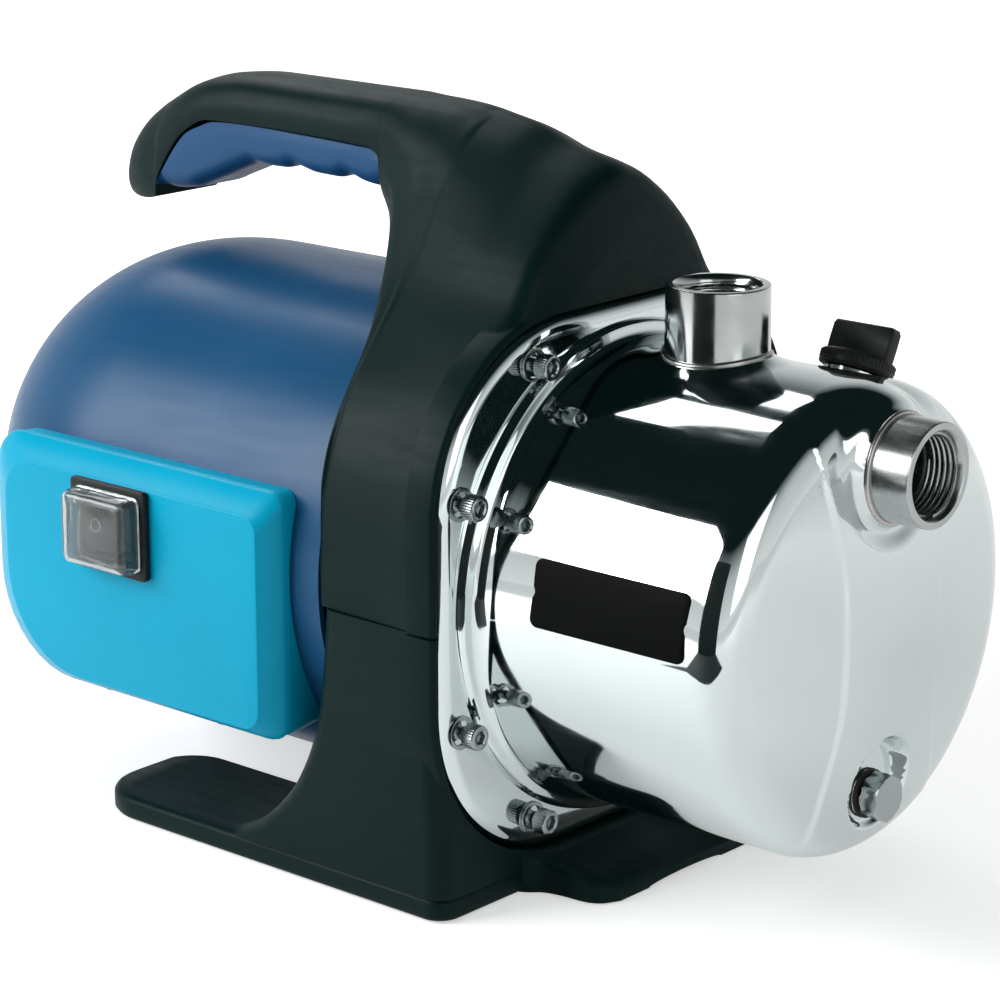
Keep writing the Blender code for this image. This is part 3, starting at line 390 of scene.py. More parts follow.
def build_lathe_group():
    """Fine tool lines round an axis that passes through a centre point."""
    tree, given, result = new_group(
        "lathe_lines", (("Centre", "NodeSocketVector", (0, 0, 0)), ("Axis", "NodeSocketVector", (1, 0, 0)),
                        ("Lines", "NodeSocketFloat", 2600.0)),
                        (("Height", "NodeSocketFloat"), ("Mask", "NodeSocketFloat")))
    where = add(tree, "ShaderNodeTexCoord").outputs["Object"]
    offset = add(tree, "ShaderNodeVectorMath", (("operation", "SUBTRACT"),), i0=where,
                 i1=given.outputs["Centre"]).outputs[0]
    along = add(tree, "ShaderNodeVectorMath", (("operation", "DOT_PRODUCT"),), i0=offset,
                i1=given.outputs["Axis"]).outputs["Value"]
    across = add(tree, "ShaderNodeVectorMath", (("operation", "CROSS_PRODUCT"),), i0=offset,
                 i1=given.outputs["Axis"]).outputs[0]
    radius = add(tree, "ShaderNodeVectorMath", (("operation", "LENGTH"),), i0=across).outputs["Value"]
    spread = add(tree, "ShaderNodeCombineXYZ", (), X=along, Y=radius)
    lines = add(tree, "ShaderNodeTexNoise", (), Vector=spread.outputs[0], Scale=given.outputs["Lines"],
                Detail=3.0)
    slow = add(tree, "ShaderNodeTexNoise", (), Vector=where, Scale=60.0, Detail=3.0)
    tree.links.new(lines.outputs["Fac"], result.inputs["Height"])
    tree.links.new(slow.outputs["Fac"], result.inputs["Mask"])
    return tree


GROUP_BUILDERS = {"moulded_grain": build_grain_group, "handling_marks": build_marks_group,
                  "tone_drift": build_tone_group, "lathe_lines": build_lathe_group}


def group_node(tree, name, **inputs):
    """A shared effect group placed in a material."""
    group = bpy.data.node_groups.get(name) or GROUP_BUILDERS[name]()
    node = tree.nodes.new("ShaderNodeGroup")
    node.node_tree = group
    for key, value in inputs.items():
        node.inputs[key].default_value = value
    return node


# ---------------------------------------------------------------- materials

def new_finish(name, colour, metallic=0.0, **sockets):
    """Material with a Principled shader; returns it with its tree and shader."""
    material = bpy.data.materials.new(name)
    material.use_nodes = True
    tree = material.node_tree
    shader = tree.nodes["Principled BSDF"]
    shader.inputs["Base Color"].default_value = (*colour, 1.0)
    shader.inputs["Metallic"].default_value = metallic
    for key, value in sockets.items():
        shader.inputs[key.replace("_", " ")].default_value = value
    return material, tree, shader


def bump(tree, shader, height, strength, distance):
    """Lets a height disturb the surface's normal."""
    node = add(tree, "ShaderNodeBump", (), Strength=strength, Distance=distance, Height=height)
    tree.links.new(node.outputs[0], shader.inputs["Normal"])


def rgba(colour, factor=1.0):
    """Colour with its alpha, times a factor."""
    return (colour[0] * factor, colour[1] * factor, colour[2] * factor, 1.0)


def moulded(name, colour, clean, smudged, size=900.0, depth=0.05, second=0.82, coat=0.0, marks=14.0,
            gloss=0.5):
    """Moulded plastic or rubber: grain, drift of tone and handling marks."""
    material, tree, shader = new_finish(name, colour)
    shader.inputs["Specular IOR Level"].default_value = gloss
    shader.inputs["Coat Weight"].default_value = coat
    shader.inputs["Coat Roughness"].default_value = 0.06
    tone = group_node(tree, "tone_drift", Colour=rgba(colour), Second=rgba(colour, second))
    tree.links.new(tone.outputs["Colour"], shader.inputs["Base Color"])
    wiped = group_node(tree, "handling_marks", Clean=clean, Smudged=smudged, Size=marks)
    tree.links.new(wiped.outputs["Roughness"], shader.inputs["Roughness"])
    grain = group_node(tree, "moulded_grain", Size=size, Swell=0.15)
    bump(tree, shader, grain.outputs["Height"], 0.35, depth * MM)
    return material


def machined(name, colour, centre, axis, clean=0.2, smudged=0.32, lines=2600.0, depth=0.02):
    """Turned metal with tool lines round its axis."""
    material, tree, shader = new_finish(name, colour, 1.0)
    tone = group_node(tree, "tone_drift", Colour=rgba(colour), Second=rgba(colour, 0.84), Size=30.0)
    tree.links.new(tone.outputs["Colour"], shader.inputs["Base Color"])
    wiped = group_node(tree, "handling_marks", Clean=clean, Smudged=smudged, Size=40.0)
    tree.links.new(wiped.outputs["Roughness"], shader.inputs["Roughness"])
    rings = group_node(tree, "lathe_lines", Centre=centre, Axis=axis, Lines=lines)
    bump(tree, shader, rings.outputs["Height"], 0.3, depth * MM)
    return material


def polished_sheet(colour):
    """Mirror-polished stainless sheet: slow ripples from forming and faint wiping marks."""
    material, tree, shader = new_finish("polished_sheet", colour, 1.0)
    tone = group_node(tree, "tone_drift", Colour=rgba(colour), Second=rgba(colour, 0.93), Size=6.0)
    tree.links.new(tone.outputs["Colour"], shader.inputs["Base Color"])
    wiped = group_node(tree, "handling_marks", Clean=0.035, Smudged=0.10, Size=11.0)
    tree.links.new(wiped.outputs["Roughness"], shader.inputs["Roughness"])
    where = add(tree, "ShaderNodeTexCoord").outputs["Object"]
    ripple = add(tree, "ShaderNodeTexNoise", (), Vector=where, Scale=17.0, Detail=1.0)
    bump(tree, shader, ripple.outputs["Fac"], 0.22, 2.2 * MM)
    return material


def smoky_boot():
    """Clear, slightly smoky soft plastic."""
    material, tree, shader = new_finish("smoky_boot", (0.50, 0.55, 0.55), Transmission_Weight=0.94, IOR=1.44)
    wiped = group_node(tree, "handling_marks", Clean=0.05, Smudged=0.2, Size=60.0)
    tree.links.new(wiped.outputs["Roughness"], shader.inputs["Roughness"])
    where = add(tree, "ShaderNodeTexCoord").outputs["Object"]
    dents = add(tree, "ShaderNodeTexNoise", (), Vector=where, Scale=140.0, Detail=1.0)
    bump(tree, shader, dents.outputs["Fac"], 0.4, 0.6 * MM)
    return material


def ground_finish():
    """Pale floor that glows more with distance, so that it meets the backdrop."""
    material, tree, shader = new_finish("studio_floor", (0.86, 0.865, 0.87), Roughness=0.7,
                                        Emission_Strength=1.0)
    where = add(tree, "ShaderNodeTexCoord").outputs["Object"]
    mottle = add(tree, "ShaderNodeTexNoise", (), Vector=where, Scale=3.0, Detail=4.0)
    share = add(tree, "ShaderNodeMapRange", (), Value=mottle.outputs["Fac"], i3=0.84, i4=0.88).outputs[0]
    level = add(tree, "ShaderNodeCombineColor", (), Red=share, Green=share, Blue=share)
    tree.links.new(level.outputs[0], shader.inputs["Base Color"])
    away = add(tree, "ShaderNodeVectorMath", (("operation", "LENGTH"),), i0=where).outputs["Value"]
    glow = add(tree, "ShaderNodeMapRange", (("interpolation_type", "SMOOTHSTEP"),), Value=away, i1=0.35,
               i2=1.6, i3=0.5, i4=1.0).outputs[0]
    rays = add(tree, "ShaderNodeLightPath").outputs
    shown = math_value(tree, "ADD", rays["Is Camera Ray"], math_value(tree, "MULTIPLY", rays["Is Glossy Ray"],
                                                                      0.66), True)
    seen = math_value(tree, "MULTIPLY", glow, shown)
    lit = add(tree, "ShaderNodeCombineColor", (), Red=seen, Green=seen, Blue=seen)
    tree.links.new(lit.outputs[0], shader.inputs["Emission Color"])
    return material


# Lines that turned finishes run round: a point in metres and a direction.
SUCTION_LINE = ((0, 0, SUCTION_Z * MM), (1, 0, 0))
OUTLET_LINE = ((OUTLET_X * MM, 0, 0), (0, 0, 1))
DRAIN_LINE = ((0, 0, DRAIN_Z * MM), (1, 0, 0))
SHAFT_LINE = ((0, 0, SHAFT_Z * MM), (1, 0, 0))
CROSS_LINE = ((0, 0, 0), (0, 1, 0))
FLOOR_LINE = ((0, 0, 0), (1, 0, 0))

# Colour, or the setting that holds it; then clean and smudged roughness, grain per metre, its depth
# in millimetres and the darker tone's share; then what differs from moulded()'s own values.
MOULDED = {
    "stand_plastic": ("stand", (0.42, 0.54, 1300.0, 0.05), {"gloss": 0.10}),
    "cover_plastic": ("cover", (0.28, 0.36, 500.0, 0.012, 0.9), {"gloss": 0.2}),
    "box_plastic": ("box", (0.30, 0.4, 700.0, 0.02, 0.94), {"gloss": 0.14}),
    "grip_plastic": ("grip", (0.42, 0.55, 1500.0, 0.06, 0.88), {"gloss": 0.25}),
    "black_plastic": ((0.004, 0.006, 0.007), (0.42, 0.58, 1600.0, 0.05), {"gloss": 0.3}),
    "rocker_plastic": ((0.01, 0.01, 0.011), (0.24, 0.36, 1200.0, 0.02), {}),
    "mark_paint": ((0.75, 0.75, 0.74), (0.4, 0.5, 1800.0, 0.02), {}),
    "label_film": ((0.001, 0.0015, 0.0015), (0.45, 0.55, 2400.0, 0.008), {"gloss": 0.05}),
    "seal_rubber": ((0.016, 0.014, 0.013), (0.6, 0.75, 1500.0, 0.06), {}),
    "impeller_plastic": ((0.6, 0.56, 0.46), (0.4, 0.5, 900.0, 0.03), {}),
    "fan_plastic": ((0.02, 0.02, 0.022), (0.4, 0.5, 900.0, 0.03), {}),
    "terminal_plastic": ((0.6, 0.6, 0.55), (0.4, 0.5, 900.0, 0.03), {}),
    "capacitor_case": ((0.55, 0.55, 0.53), (0.3, 0.4, 700.0, 0.03), {}),
    "carbon": ((0.02, 0.02, 0.021), (0.3, 0.4, 2200.0, 0.02), {}),
    "dark_card": ((0.01, 0.016, 0.016), (0.8, 0.9, 20.0, 0.0), {}),
}

# Colour and line; then clean and smudged roughness, tool lines per metre and their depth in millimetres.
TURNED = {
    "suction_steel": ((0.50, 0.52, 0.52), SUCTION_LINE, ()),
    "outlet_steel": ((0.50, 0.52, 0.52), OUTLET_LINE, (0.12, 0.2)),
    "drain_steel": ((0.42, 0.45, 0.45), DRAIN_LINE, (0.16, 0.26)),
    "screw_steel": ((0.34, 0.37, 0.37), SHAFT_LINE, (0.2, 0.3)),
    "shaft_steel": ((0.58, 0.58, 0.58), SHAFT_LINE, (0.25, 0.4)),
    "weld": ((0.5, 0.49, 0.48), CROSS_LINE, (0.25, 0.4, 700.0, 0.06)),
    "cast_aluminium": ((0.45, 0.45, 0.46), FLOOR_LINE, (0.4, 0.6, 420.0, 0.15)),
    "bearing_steel": ((0.55, 0.55, 0.55), SHAFT_LINE, (0.15, 0.25)),
    "core_steel": ((0.2, 0.19, 0.19), SHAFT_LINE, (0.35, 0.5, 1400.0, 0.1)),
    "copper": ((0.6, 0.25, 0.1), SHAFT_LINE, (0.25, 0.4, 900.0, 0.3)),
    "brass": ((0.62, 0.43, 0.16), SHAFT_LINE, (0.2, 0.3)),
}

FINISHES = {}


def make_finish(name):
    """New material from its row in the tables, or from its own function."""
    paint = bpy.context.scene.pump_colours
    if name in MOULDED:
        colour, values, extra = MOULDED[name]
        return moulded(name, getattr(paint, colour) if isinstance(colour, str) else colour, *values, **extra)
    if name in TURNED:
        colour, (centre, axis), values = TURNED[name]
        return machined(name, colour, centre, axis, *values)
    if name == "polished_sheet":
        return polished_sheet(paint.steel)
    return {"smoky_boot": smoky_boot, "studio_floor": ground_finish}[name]()


def finish(name):
    """Finish by its name, made the first time it is asked for."""
    if name not in FINISHES:
        FINISHES[name] = make_finish(name)
    return FINISHES[name]


# ---------------------------------------------------------------- geometry node trees

def new_shape_tree(name, inputs):
    """Empty geometry tree with the named inputs, and its two end nodes."""
    tree = bpy.data.node_groups.new(name, "GeometryNodeTree")
    tree.interface.new_socket("Geometry", in_out="INPUT", socket_type="NodeSocketGeometry")
    for label, kind, value in inputs:
        item = tree.interface.new_socket(label, in_out="INPUT", socket_type=kind)
        if value is not None:
            item.default_value = value
    tree.interface.new_socket("Geometry", in_out="OUTPUT", socket_type="NodeSocketGeometry")
    return tree, tree.nodes.new("NodeGroupInput"), tree.nodes.new("NodeGroupOutput")


def finish_tree(tree, geometry, given, result):
    """Every tree ends in plain geometry with its finish set."""
    real = add(tree, "GeometryNodeRealizeInstances", (), Geometry=geometry)
    smooth = add(tree, "GeometryNodeSetShadeSmooth", (), Geometry=real.outputs[0])
    painted = add(tree, "GeometryNodeSetMaterial", (), Geometry=smooth.outputs[0],
                  Material=given.outputs["Finish"])
    tree.links.new(painted.outputs[0], result.inputs[0])
    return tree


def screw_row_tree():
    """One fastener on every point of the given mesh."""
    tree, given, result = new_shape_tree("fasteners_on_points", (
        ("Fastener", "NodeSocketObject", None), ("Scale", "NodeSocketFloat", 1.0),
        ("Finish", "NodeSocketMaterial", None)))
    shape = add(tree, "GeometryNodeObjectInfo", (), Object=given.outputs["Fastener"])
    points = add(tree, "GeometryNodeMeshToPoints", (), Mesh=given.outputs["Geometry"])
    placed = add(tree, "GeometryNodeInstanceOnPoints", (), Points=points.outputs[0],
                 Instance=shape.outputs["Geometry"],
                 Scale=given.outputs["Scale"])
    return finish_tree(tree, placed.outputs[0], given, result)


def bead_tree():
    """Round bead along the edges of the given mesh."""
    tree, given, result = new_shape_tree("bead_on_path", (
        ("Radius", "NodeSocketFloat", 0.001), ("Steps", "NodeSocketInt", 10),
        ("Finish", "NodeSocketMaterial", None)))
    path = add(tree, "GeometryNodeMeshToCurve", (), Mesh=given.outputs["Geometry"])
    profile = add(tree, "GeometryNodeCurvePrimitiveCircle", (), Resolution=given.outputs["Steps"],
                  Radius=given.outputs["Radius"])
    tube = add(tree, "GeometryNodeCurveToMesh", (), Curve=path.outputs[0], Profile_Curve=profile.outputs[0])
    return finish_tree(tree, tube.outputs[0], given, result)


def thread_tree():
    """Female pipe thread: a ridge that winds along the bore."""
    tree, given, result = new_shape_tree("pipe_thread", (
        ("Radius", "NodeSocketFloat", 0.0155), ("Pitch", "NodeSocketFloat", 0.0023),
        ("Turns", "NodeSocketFloat", 7.0),
        ("Depth", "NodeSocketFloat", 0.0009), ("Finish", "NodeSocketMaterial", None)))
    length = math_value(tree, "MULTIPLY", given.outputs["Pitch"], given.outputs["Turns"])
    path = add(tree, "GeometryNodeCurveSpiral", (), Resolution=48, Rotations=given.outputs["Turns"],
               Start_Radius=given.outputs["Radius"], End_Radius=given.outputs["Radius"], Height=length)
    profile = add(tree, "GeometryNodeCurvePrimitiveCircle", (), Resolution=6, Radius=given.outputs["Depth"])
    ridge = add(tree, "GeometryNodeCurveToMesh", (), Curve=path.outputs[0], Profile_Curve=profile.outputs[0],
                Fill_Caps=True)
    return finish_tree(tree, ridge.outputs[0], given, result)


def knurl_tree():
    """Even row of small ribs round an upright axis."""
    tree, given, result = new_shape_tree("rib_ring", (
        ("Count", "NodeSocketInt", 40), ("Radius", "NodeSocketFloat", 0.02),
        ("Height", "NodeSocketFloat", 0.008),
        ("Width", "NodeSocketFloat", 0.0011), ("Finish", "NodeSocketMaterial", None)))
    ring = add(tree, "GeometryNodeCurvePrimitiveCircle", (), Resolution=given.outputs["Count"],
               Radius=given.outputs["Radius"])
    points = add(tree, "GeometryNodeCurveToPoints", (("mode", "EVALUATED"),), Curve=ring.outputs[0])
    rib = add(tree, "GeometryNodeMeshCylinder", (), Vertices=8, Radius=given.outputs["Width"],
              Depth=given.outputs["Height"])
    placed = add(tree, "GeometryNodeInstanceOnPoints", (), Points=points.outputs[0], Instance=rib.outputs[0])
    return finish_tree(tree, placed.outputs[0], given, result)


def cover_tree():
    """Motor cover: a cylinder that closes in an even round end, from a flat grid."""
    tree, given, result = new_shape_tree("round_ended_cover", (
        ("Radius", "NodeSocketFloat", 0.103), ("Front", "NodeSocketFloat", -0.067),
        ("Taper", "NodeSocketFloat", -0.2),
        ("Rear", "NodeSocketFloat", -0.318), ("Height", "NodeSocketFloat", 0.121),
        ("Around", "NodeSocketInt", 160),
        ("Along", "NodeSocketInt", 70), ("Finish", "NodeSocketMaterial", None)))
    grid = add(tree, "GeometryNodeMeshGrid", (), Size_X=1.0, Size_Y=1.0, Vertices_X=given.outputs["Around"],
               Vertices_Y=given.outputs["Along"])
    spot = add(tree, "ShaderNodeSeparateXYZ", (), Vector=add(tree, "GeometryNodeInputPosition").outputs[0])
    turn = math_value(tree, "MULTIPLY", math_value(tree, "ADD", spot.outputs[0], 0.5), 2 * math.pi)
    share = math_value(tree, "ADD", spot.outputs[1], 0.5)
    straight = math_value(tree, "MULTIPLY", share, 1 / 0.35, True)
    bend = math_value(tree, "MULTIPLY", math_value(tree, "SUBTRACT", share, 0.35), 1 / 0.65, True)
    reach = math_value(tree, "SINE", math_value(tree, "MULTIPLY", bend, math.pi / 2))
    left = math_value(tree, "SUBTRACT", 1.0, math_value(tree, "POWER", reach, 2.2), True)
    radius = math_value(tree, "MULTIPLY", math_value(tree, "POWER", left, 1 / 1.9), given.outputs["Radius"])
    flat_part = math_value(tree, "MULTIPLY", straight, math_value(tree, "SUBTRACT", given.outputs["Taper"],
                                                                  given.outputs["Front"]))
    round_part = math_value(tree, "MULTIPLY", reach, math_value(tree, "SUBTRACT", given.outputs["Rear"],
                                                                given.outputs["Taper"]))
    x = math_value(tree, "ADD", given.outputs["Front"], math_value(tree, "ADD", flat_part, round_part))
    y = math_value(tree, "MULTIPLY", radius, math_value(tree, "SINE", turn))
    z = math_value(tree, "ADD", given.outputs["Height"], math_value(tree, "MULTIPLY", radius,
                                                                    math_value(tree, "COSINE", turn)))
    point = add(tree, "ShaderNodeCombineXYZ", (), X=x, Y=y, Z=z)
    shaped = add(tree, "GeometryNodeSetPosition", (), Geometry=grid.outputs[0], Position=point.outputs[0])
    closed = add(tree, "GeometryNodeMergeByDistance", (), Geometry=shaped.outputs[0], Distance=1e-6)
    return finish_tree(tree, closed.outputs[0], given, result)


def run_tree(name, builder, start=None, sharp=40.0, **inputs):
    """Object from a node tree with the named inputs, baked to a plain mesh."""
    tree = bpy.data.node_groups.get(builder.__name__) or builder()
    tree.name = builder.__name__
    mesh = bpy.data.meshes.new(name)
    if start:
        mesh.from_pydata([p * MM for p in start[0]], start[1], [])
    obj = bpy.data.objects.new(name, mesh)
    bpy.context.scene.collection.objects.link(obj)
    modifier = obj.modifiers.new("shape", "NODES")
    modifier.node_group = tree
    for item in tree.interface.items_tree:
        if item.in_out == "INPUT" and item.name in inputs:
            modifier[item.identifier] = inputs[item.name]
    return bake(obj, sharp)


def move_mesh(obj, origin, along=Z, spin=0.0):
    """Turns a finished mesh from upright to the wanted axis and puts it at the origin point."""
    turn = Z.rotation_difference(along).to_matrix().to_4x4() @ Euler((0, 0, spin)).to_matrix().to_4x4()
    obj.data.transform(turn)
    obj.data.transform(Matrix.Translation(origin * MM))
    return obj


# ---------------------------------------------------------------- pump casing

DOME_STEPS = ((108.5, 91.6), (112.6, 90.6), (116.4, 88.2), (119.1, 84.9), (120.7, 81.3), (121.9, 77.8),
              (122.9, 73.2),
              (124.4, 65.0), (126.2, 54.0), (128.2, 40.0), (130.0, 24.0), (131.0, 10.0))
DOME_NOSE = 131.2
BAND_HALF, BAND_EDGE, BAND_RISE, BAND_FLARE = 30.0, 2.0, 1.1, 9.0
LANDS = ((62.3, 126.5, 22.5, 9.0),
         (-61.5, 119.8, 15.5, 4.0))      # height, x, radius and edge of each round land
DRAWN_NECK, NECK_REACH = 3.6, 5.0                # sheet drawn out round the suction port
OUTLET_LIFT, OUTLET_REACH = 2.2, 11.0            # sheet drawn up round the outlet
SHEET = 1.8


def pressed(x, y, z):
    """Dome surface: its raised upright band, the two round lands and the neck round the suction port."""
    radius = math.hypot(y, z)
    half = BAND_HALF + BAND_FLARE * ease((abs(z) - 20.0) / 60.0)
    x += BAND_RISE * ease((half + BAND_EDGE / 2 - abs(y)) / BAND_EDGE) * ease((BARREL_R - radius) / 10.0)
    for height, land_x, land_r, edge in LANDS:
        x += (land_x - x) * ease((land_r + edge - math.hypot(y, z - height)) / edge)
    away = (math.hypot(y, z - LANDS[0][0]) - SOCKET_R) / NECK_REACH
    return x + DRAWN_NECK * (1 - min(1.0, max(0.0, away))) ** 2


def flange_ring(x, inset, turns):
    """Ring of the square flange, inset from its edge."""
    rows = []
    for t in turns:
        r = rounded_square_radius(t, FLANGE_HALF - inset, FLANGE_CORNER - inset)
        rows.append(Vector((x, r * math.sin(t), SHAFT_Z + r * math.cos(t))))
    return rows


def barrel_ring(x, radius, turns):
    """Round ring of the barrel."""
    return [Vector((x, radius * math.sin(t), SHAFT_Z + radius * math.cos(t))) for t in turns]


def drawn_ring(x, turns):
    """Barrel ring, lifted where the sheet is drawn up to the outlet."""
    ring = barrel_ring(x, BARREL_R, turns)
    for point in ring:
        away = (math.hypot(point.x - OUTLET_X, point.y) - SOCKET_R) / OUTLET_REACH
        if point.z > SHAFT_Z and away < 1:
            point.z += OUTLET_LIFT * (1 - max(0.0, away)) ** 2.2
    return ring


def dome_ring(x, radius, turns, sheet=0.0):
    """Ring of the dome, pressed to its band and lands, less the sheet's thickness."""
    rows = []
    for t in turns:
        y, z = radius * math.sin(t), radius * math.cos(t)
        rows.append(Vector((pressed(x, y, z) - sheet, y, SHAFT_Z + z)))
    return rows


def dome_profile(parts):
    """The dome's (x, radius) steps, smoothed and then evened out along the radius."""
    fine = smooth_points(DOME_STEPS, 6)
    radii = [r for _, r in fine][::-1]
    places = [x for x, _ in fine][::-1]
    wanted = [10.0 + (BARREL_R - 10.0) * (i / parts) ** 0.8 for i in range(parts + 1)]
    return list(zip(steady_curve(radii, places, wanted), wanted))[::-1]


def casing_skin():
    """Whole casing: flange, neck, barrel and dome, then back along the inside."""
    turns = circle_turns(400)
    rings = [flange_ring(-8.0, 0.0, turns), flange_ring(-7.0, 0.0, turns)]
    for i in range(1, 8):
        a = math.pi / 2 * i / 7
        rings.append(flange_ring(-7.0 + 7.0 * math.sin(a), 7.0 * (1 - math.cos(a)), turns))
    neck = ((0.0, 98.8), (1.2, 98.5), (2.6, 98.1), (3.4, 97.4), (3.8, 96.2), (4.0, 94.6), (4.6, 93.4),
            (5.8, 92.6),
            (7.2, 92.1), (9.0, 91.8))
    rings += [barrel_ring(x, r, turns) for x, r in neck]
    rings += [drawn_ring(10.5 + 1.3 * i, turns) for i in range(54)]
    rings += [barrel_ring(x, BARREL_R, turns) for x in (85.0, 96.0, 104.0)]
    profile = dome_profile(100)
    rings += [dome_ring(x, r, turns) for x, r in profile]
    rings.append([Vector((DOME_NOSE + BAND_RISE, 0, SHAFT_Z))])
    inner = [[Vector((DOME_NOSE - SHEET, 0, SHAFT_Z))]]
    inner += [dome_ring(x, r, turns, SHEET + 2.6) for x, r in profile[-2:20:-5]]
    inner += [barrel_ring(x, r, turns) for x, r in ((112.0, 82.0), (104.0, BARREL_R - SHEET),
                                                    (2.0, BARREL_R - SHEET),
                                                    (-SHEET, 92.0))]
    inner += [flange_ring(x, inset, turns) for x, inset in ((-SHEET, 9.0), (-3.4, 4.2), (-7.0, SHEET),
                                                            (-8.0, SHEET))]
    return loft(rings + inner, wrap=True)


def port_path(origin, along, radius, rise=0.0, count=120):
    """Closed line where a round port meets the casing's barrel, or that much above it."""
    side = X if abs(along.x) < 0.5 else Y
    other = along.cross(side)
    points = []
    for t in circle_turns(count):
        foot = origin + side * (radius * math.cos(t)) + other * (radius * math.sin(t))
        away = foot - SHAFT
        flat = Vector((0, away.y, away.z))
        lift = math.sqrt(max(0.0, BARREL_R ** 2 - flat.cross(along).length ** 2)) - flat.dot(along)
        points.append(foot + along * (lift + rise))
    return points, [(i, (i + 1) % count) for i in range(count)]


class PUMP_OT_casing(Operator):
    """Pressed and polished pump casing with its rim, dome and welded ports"""
    bl_idname = "pump.casing"
    bl_label = "Pump Casing"

    def execute(self, context):
        sizes = context.scene.pump_sizes
        casing = new_object("casing_shell", casing_skin(), finish("polished_sheet"), 30.0)
        holes = [turned(((90.0, 0), (90.0, SOCKET_R + 0.2), (150.0, SOCKET_R + 0.2), (150.0, 0)),
                        Vector((0, 0, SUCTION_Z)), X, 97),
                 turned(((80.0, 0), (80.0, SOCKET_R + 0.2), (106.0, SOCKET_R + 0.2), (106.0, 0)),
                        Vector((OUTLET_X, 0, SHAFT_Z)), Z, 97),
                 turned(((80.0, 0), (80.0, FILLER_R + 0.2), (100.0, FILLER_R + 0.2), (100.0, 0)),
                        Vector((FILLER_X, 0, SHAFT_Z)), FILLER_AXIS, 73),
                 turned(((100.0, 0), (100.0, 9.7), (140.0, 9.7), (140.0, 0)), Vector((0, 0, DRAIN_Z)), X, 61)]
        cut(casing, *holes, sharp=30.0)
        place(casing, "pump", "polished_steel", "pump_casing")
        outlet_path = port_path(Vector((OUTLET_X, 0, SHAFT_Z)), Z, SOCKET_R + 0.2, OUTLET_LIFT)
        bead = run_tree("outlet_weld", bead_tree, outlet_path, 80.0, Radius=sizes.weld * MM,
                        Finish=finish("weld"))
        place(bead, "pump", "turned_steel")
        ring = [Vector((LANDS[0][1] + DRAWN_NECK, (SOCKET_R + 0.4) * math.sin(t),
                        SUCTION_Z + (SOCKET_R + 0.4) * math.cos(t)))
                for t in circle_turns(96)]
        path = (ring, [(i, (i + 1) % 96) for i in range(96)])
        bead = run_tree("suction_weld", bead_tree, path, 80.0, Radius=sizes.weld * MM, Finish=finish("weld"))
        place(bead, "pump", "turned_steel")
        return {"FINISHED"}


# ---------------------------------------------------------------- ports

def port_profile(low, high, radius, mouth):
    """Tube wall with a chamfered lip and a short lead-in inside."""
    return ((low, SOCKET_BORE), (low, radius - 0.5), (low + 0.5, radius), (high - 1.2, mouth),
            (high - 0.4, mouth - 0.1),
            (high - 0.1, mouth - 0.4), (high, mouth - 0.8), (high, SOCKET_BORE + 1.7),
            (high - 0.5, SOCKET_BORE + 1.1),
            (high - 2.6, SOCKET_BORE + 0.2), (high - 3.6, SOCKET_BORE))


class PUMP_OT_ports(Operator):
    """Suction and outlet ports with their pipe threads, and the filler neck"""
    bl_idname = "pump.ports"
    bl_label = "Ports and Threads"

    def execute(self, context):
        sizes = context.scene.pump_sizes
        ports = (("suction_port", SUCTION_LOW.x, SUCTION_HIGH.x, Vector((0, 0, SUCTION_Z)), X,
                  "suction_steel", "suction_socket"),
                 ("outlet_port", OUTLET_LOW.z, OUTLET_HIGH.z, Vector((OUTLET_X, 0, 0)), Z, "outlet_steel",
                  "discharge_socket"))
        for name, low, high, origin, along, paint, node in ports:
            tube = new_object(name, turned(port_profile(low, high, SOCKET_R, SOCKET_R - 0.2), origin, along,
                                           128),
                              finish(paint), 28.0)
            place(tube, "pump", "turned_steel", node)
            turns = sizes.thread_turns
            thread = run_tree(f"{name}_thread", thread_tree, None, 60.0, Radius=(SOCKET_BORE - 0.1) * MM,
                              Pitch=sizes.thread_pitch * MM, Turns=float(turns), Depth=0.95 * MM,
                              Finish=finish(paint))
            start = origin + along * (high - 2.8 - turns * sizes.thread_pitch)
            place(move_mesh(thread, start, along), "pump", "turned_steel")
        neck = ((80.0, FILLER_BORE), (80.0, FILLER_R - 0.4), (80.4, FILLER_R), (PLUG_SEAT - 1.0, FILLER_R),
                (PLUG_SEAT - 0.4, FILLER_R - 0.6), (PLUG_SEAT - 0.4, FILLER_BORE + 0.6),
                (PLUG_SEAT - 1.0, FILLER_BORE))
        neck_tube = new_object("filler_port", turned(neck, Vector((FILLER_X, 0, SHAFT_Z)), FILLER_AXIS, 96),
                               finish("outlet_steel"), 28.0)
        place(neck_tube, "pump", "turned_steel", "filler_neck")
        boss = ((107.0, 6.4), (107.0, 9.3), (BOSS_TOP - 0.6, 9.5), (BOSS_TOP, 8.9), (BOSS_TOP, 7.0),
                (BOSS_TOP - 0.6, 6.4))
        boss_ring = new_object("drain_port", turned(boss, Vector((0, 0, DRAIN_Z)), X, 72),
                               finish("drain_steel"), 28.0)
        place(boss_ring, "pump", "turned_steel", "drain_boss")
        return {"FINISHED"}


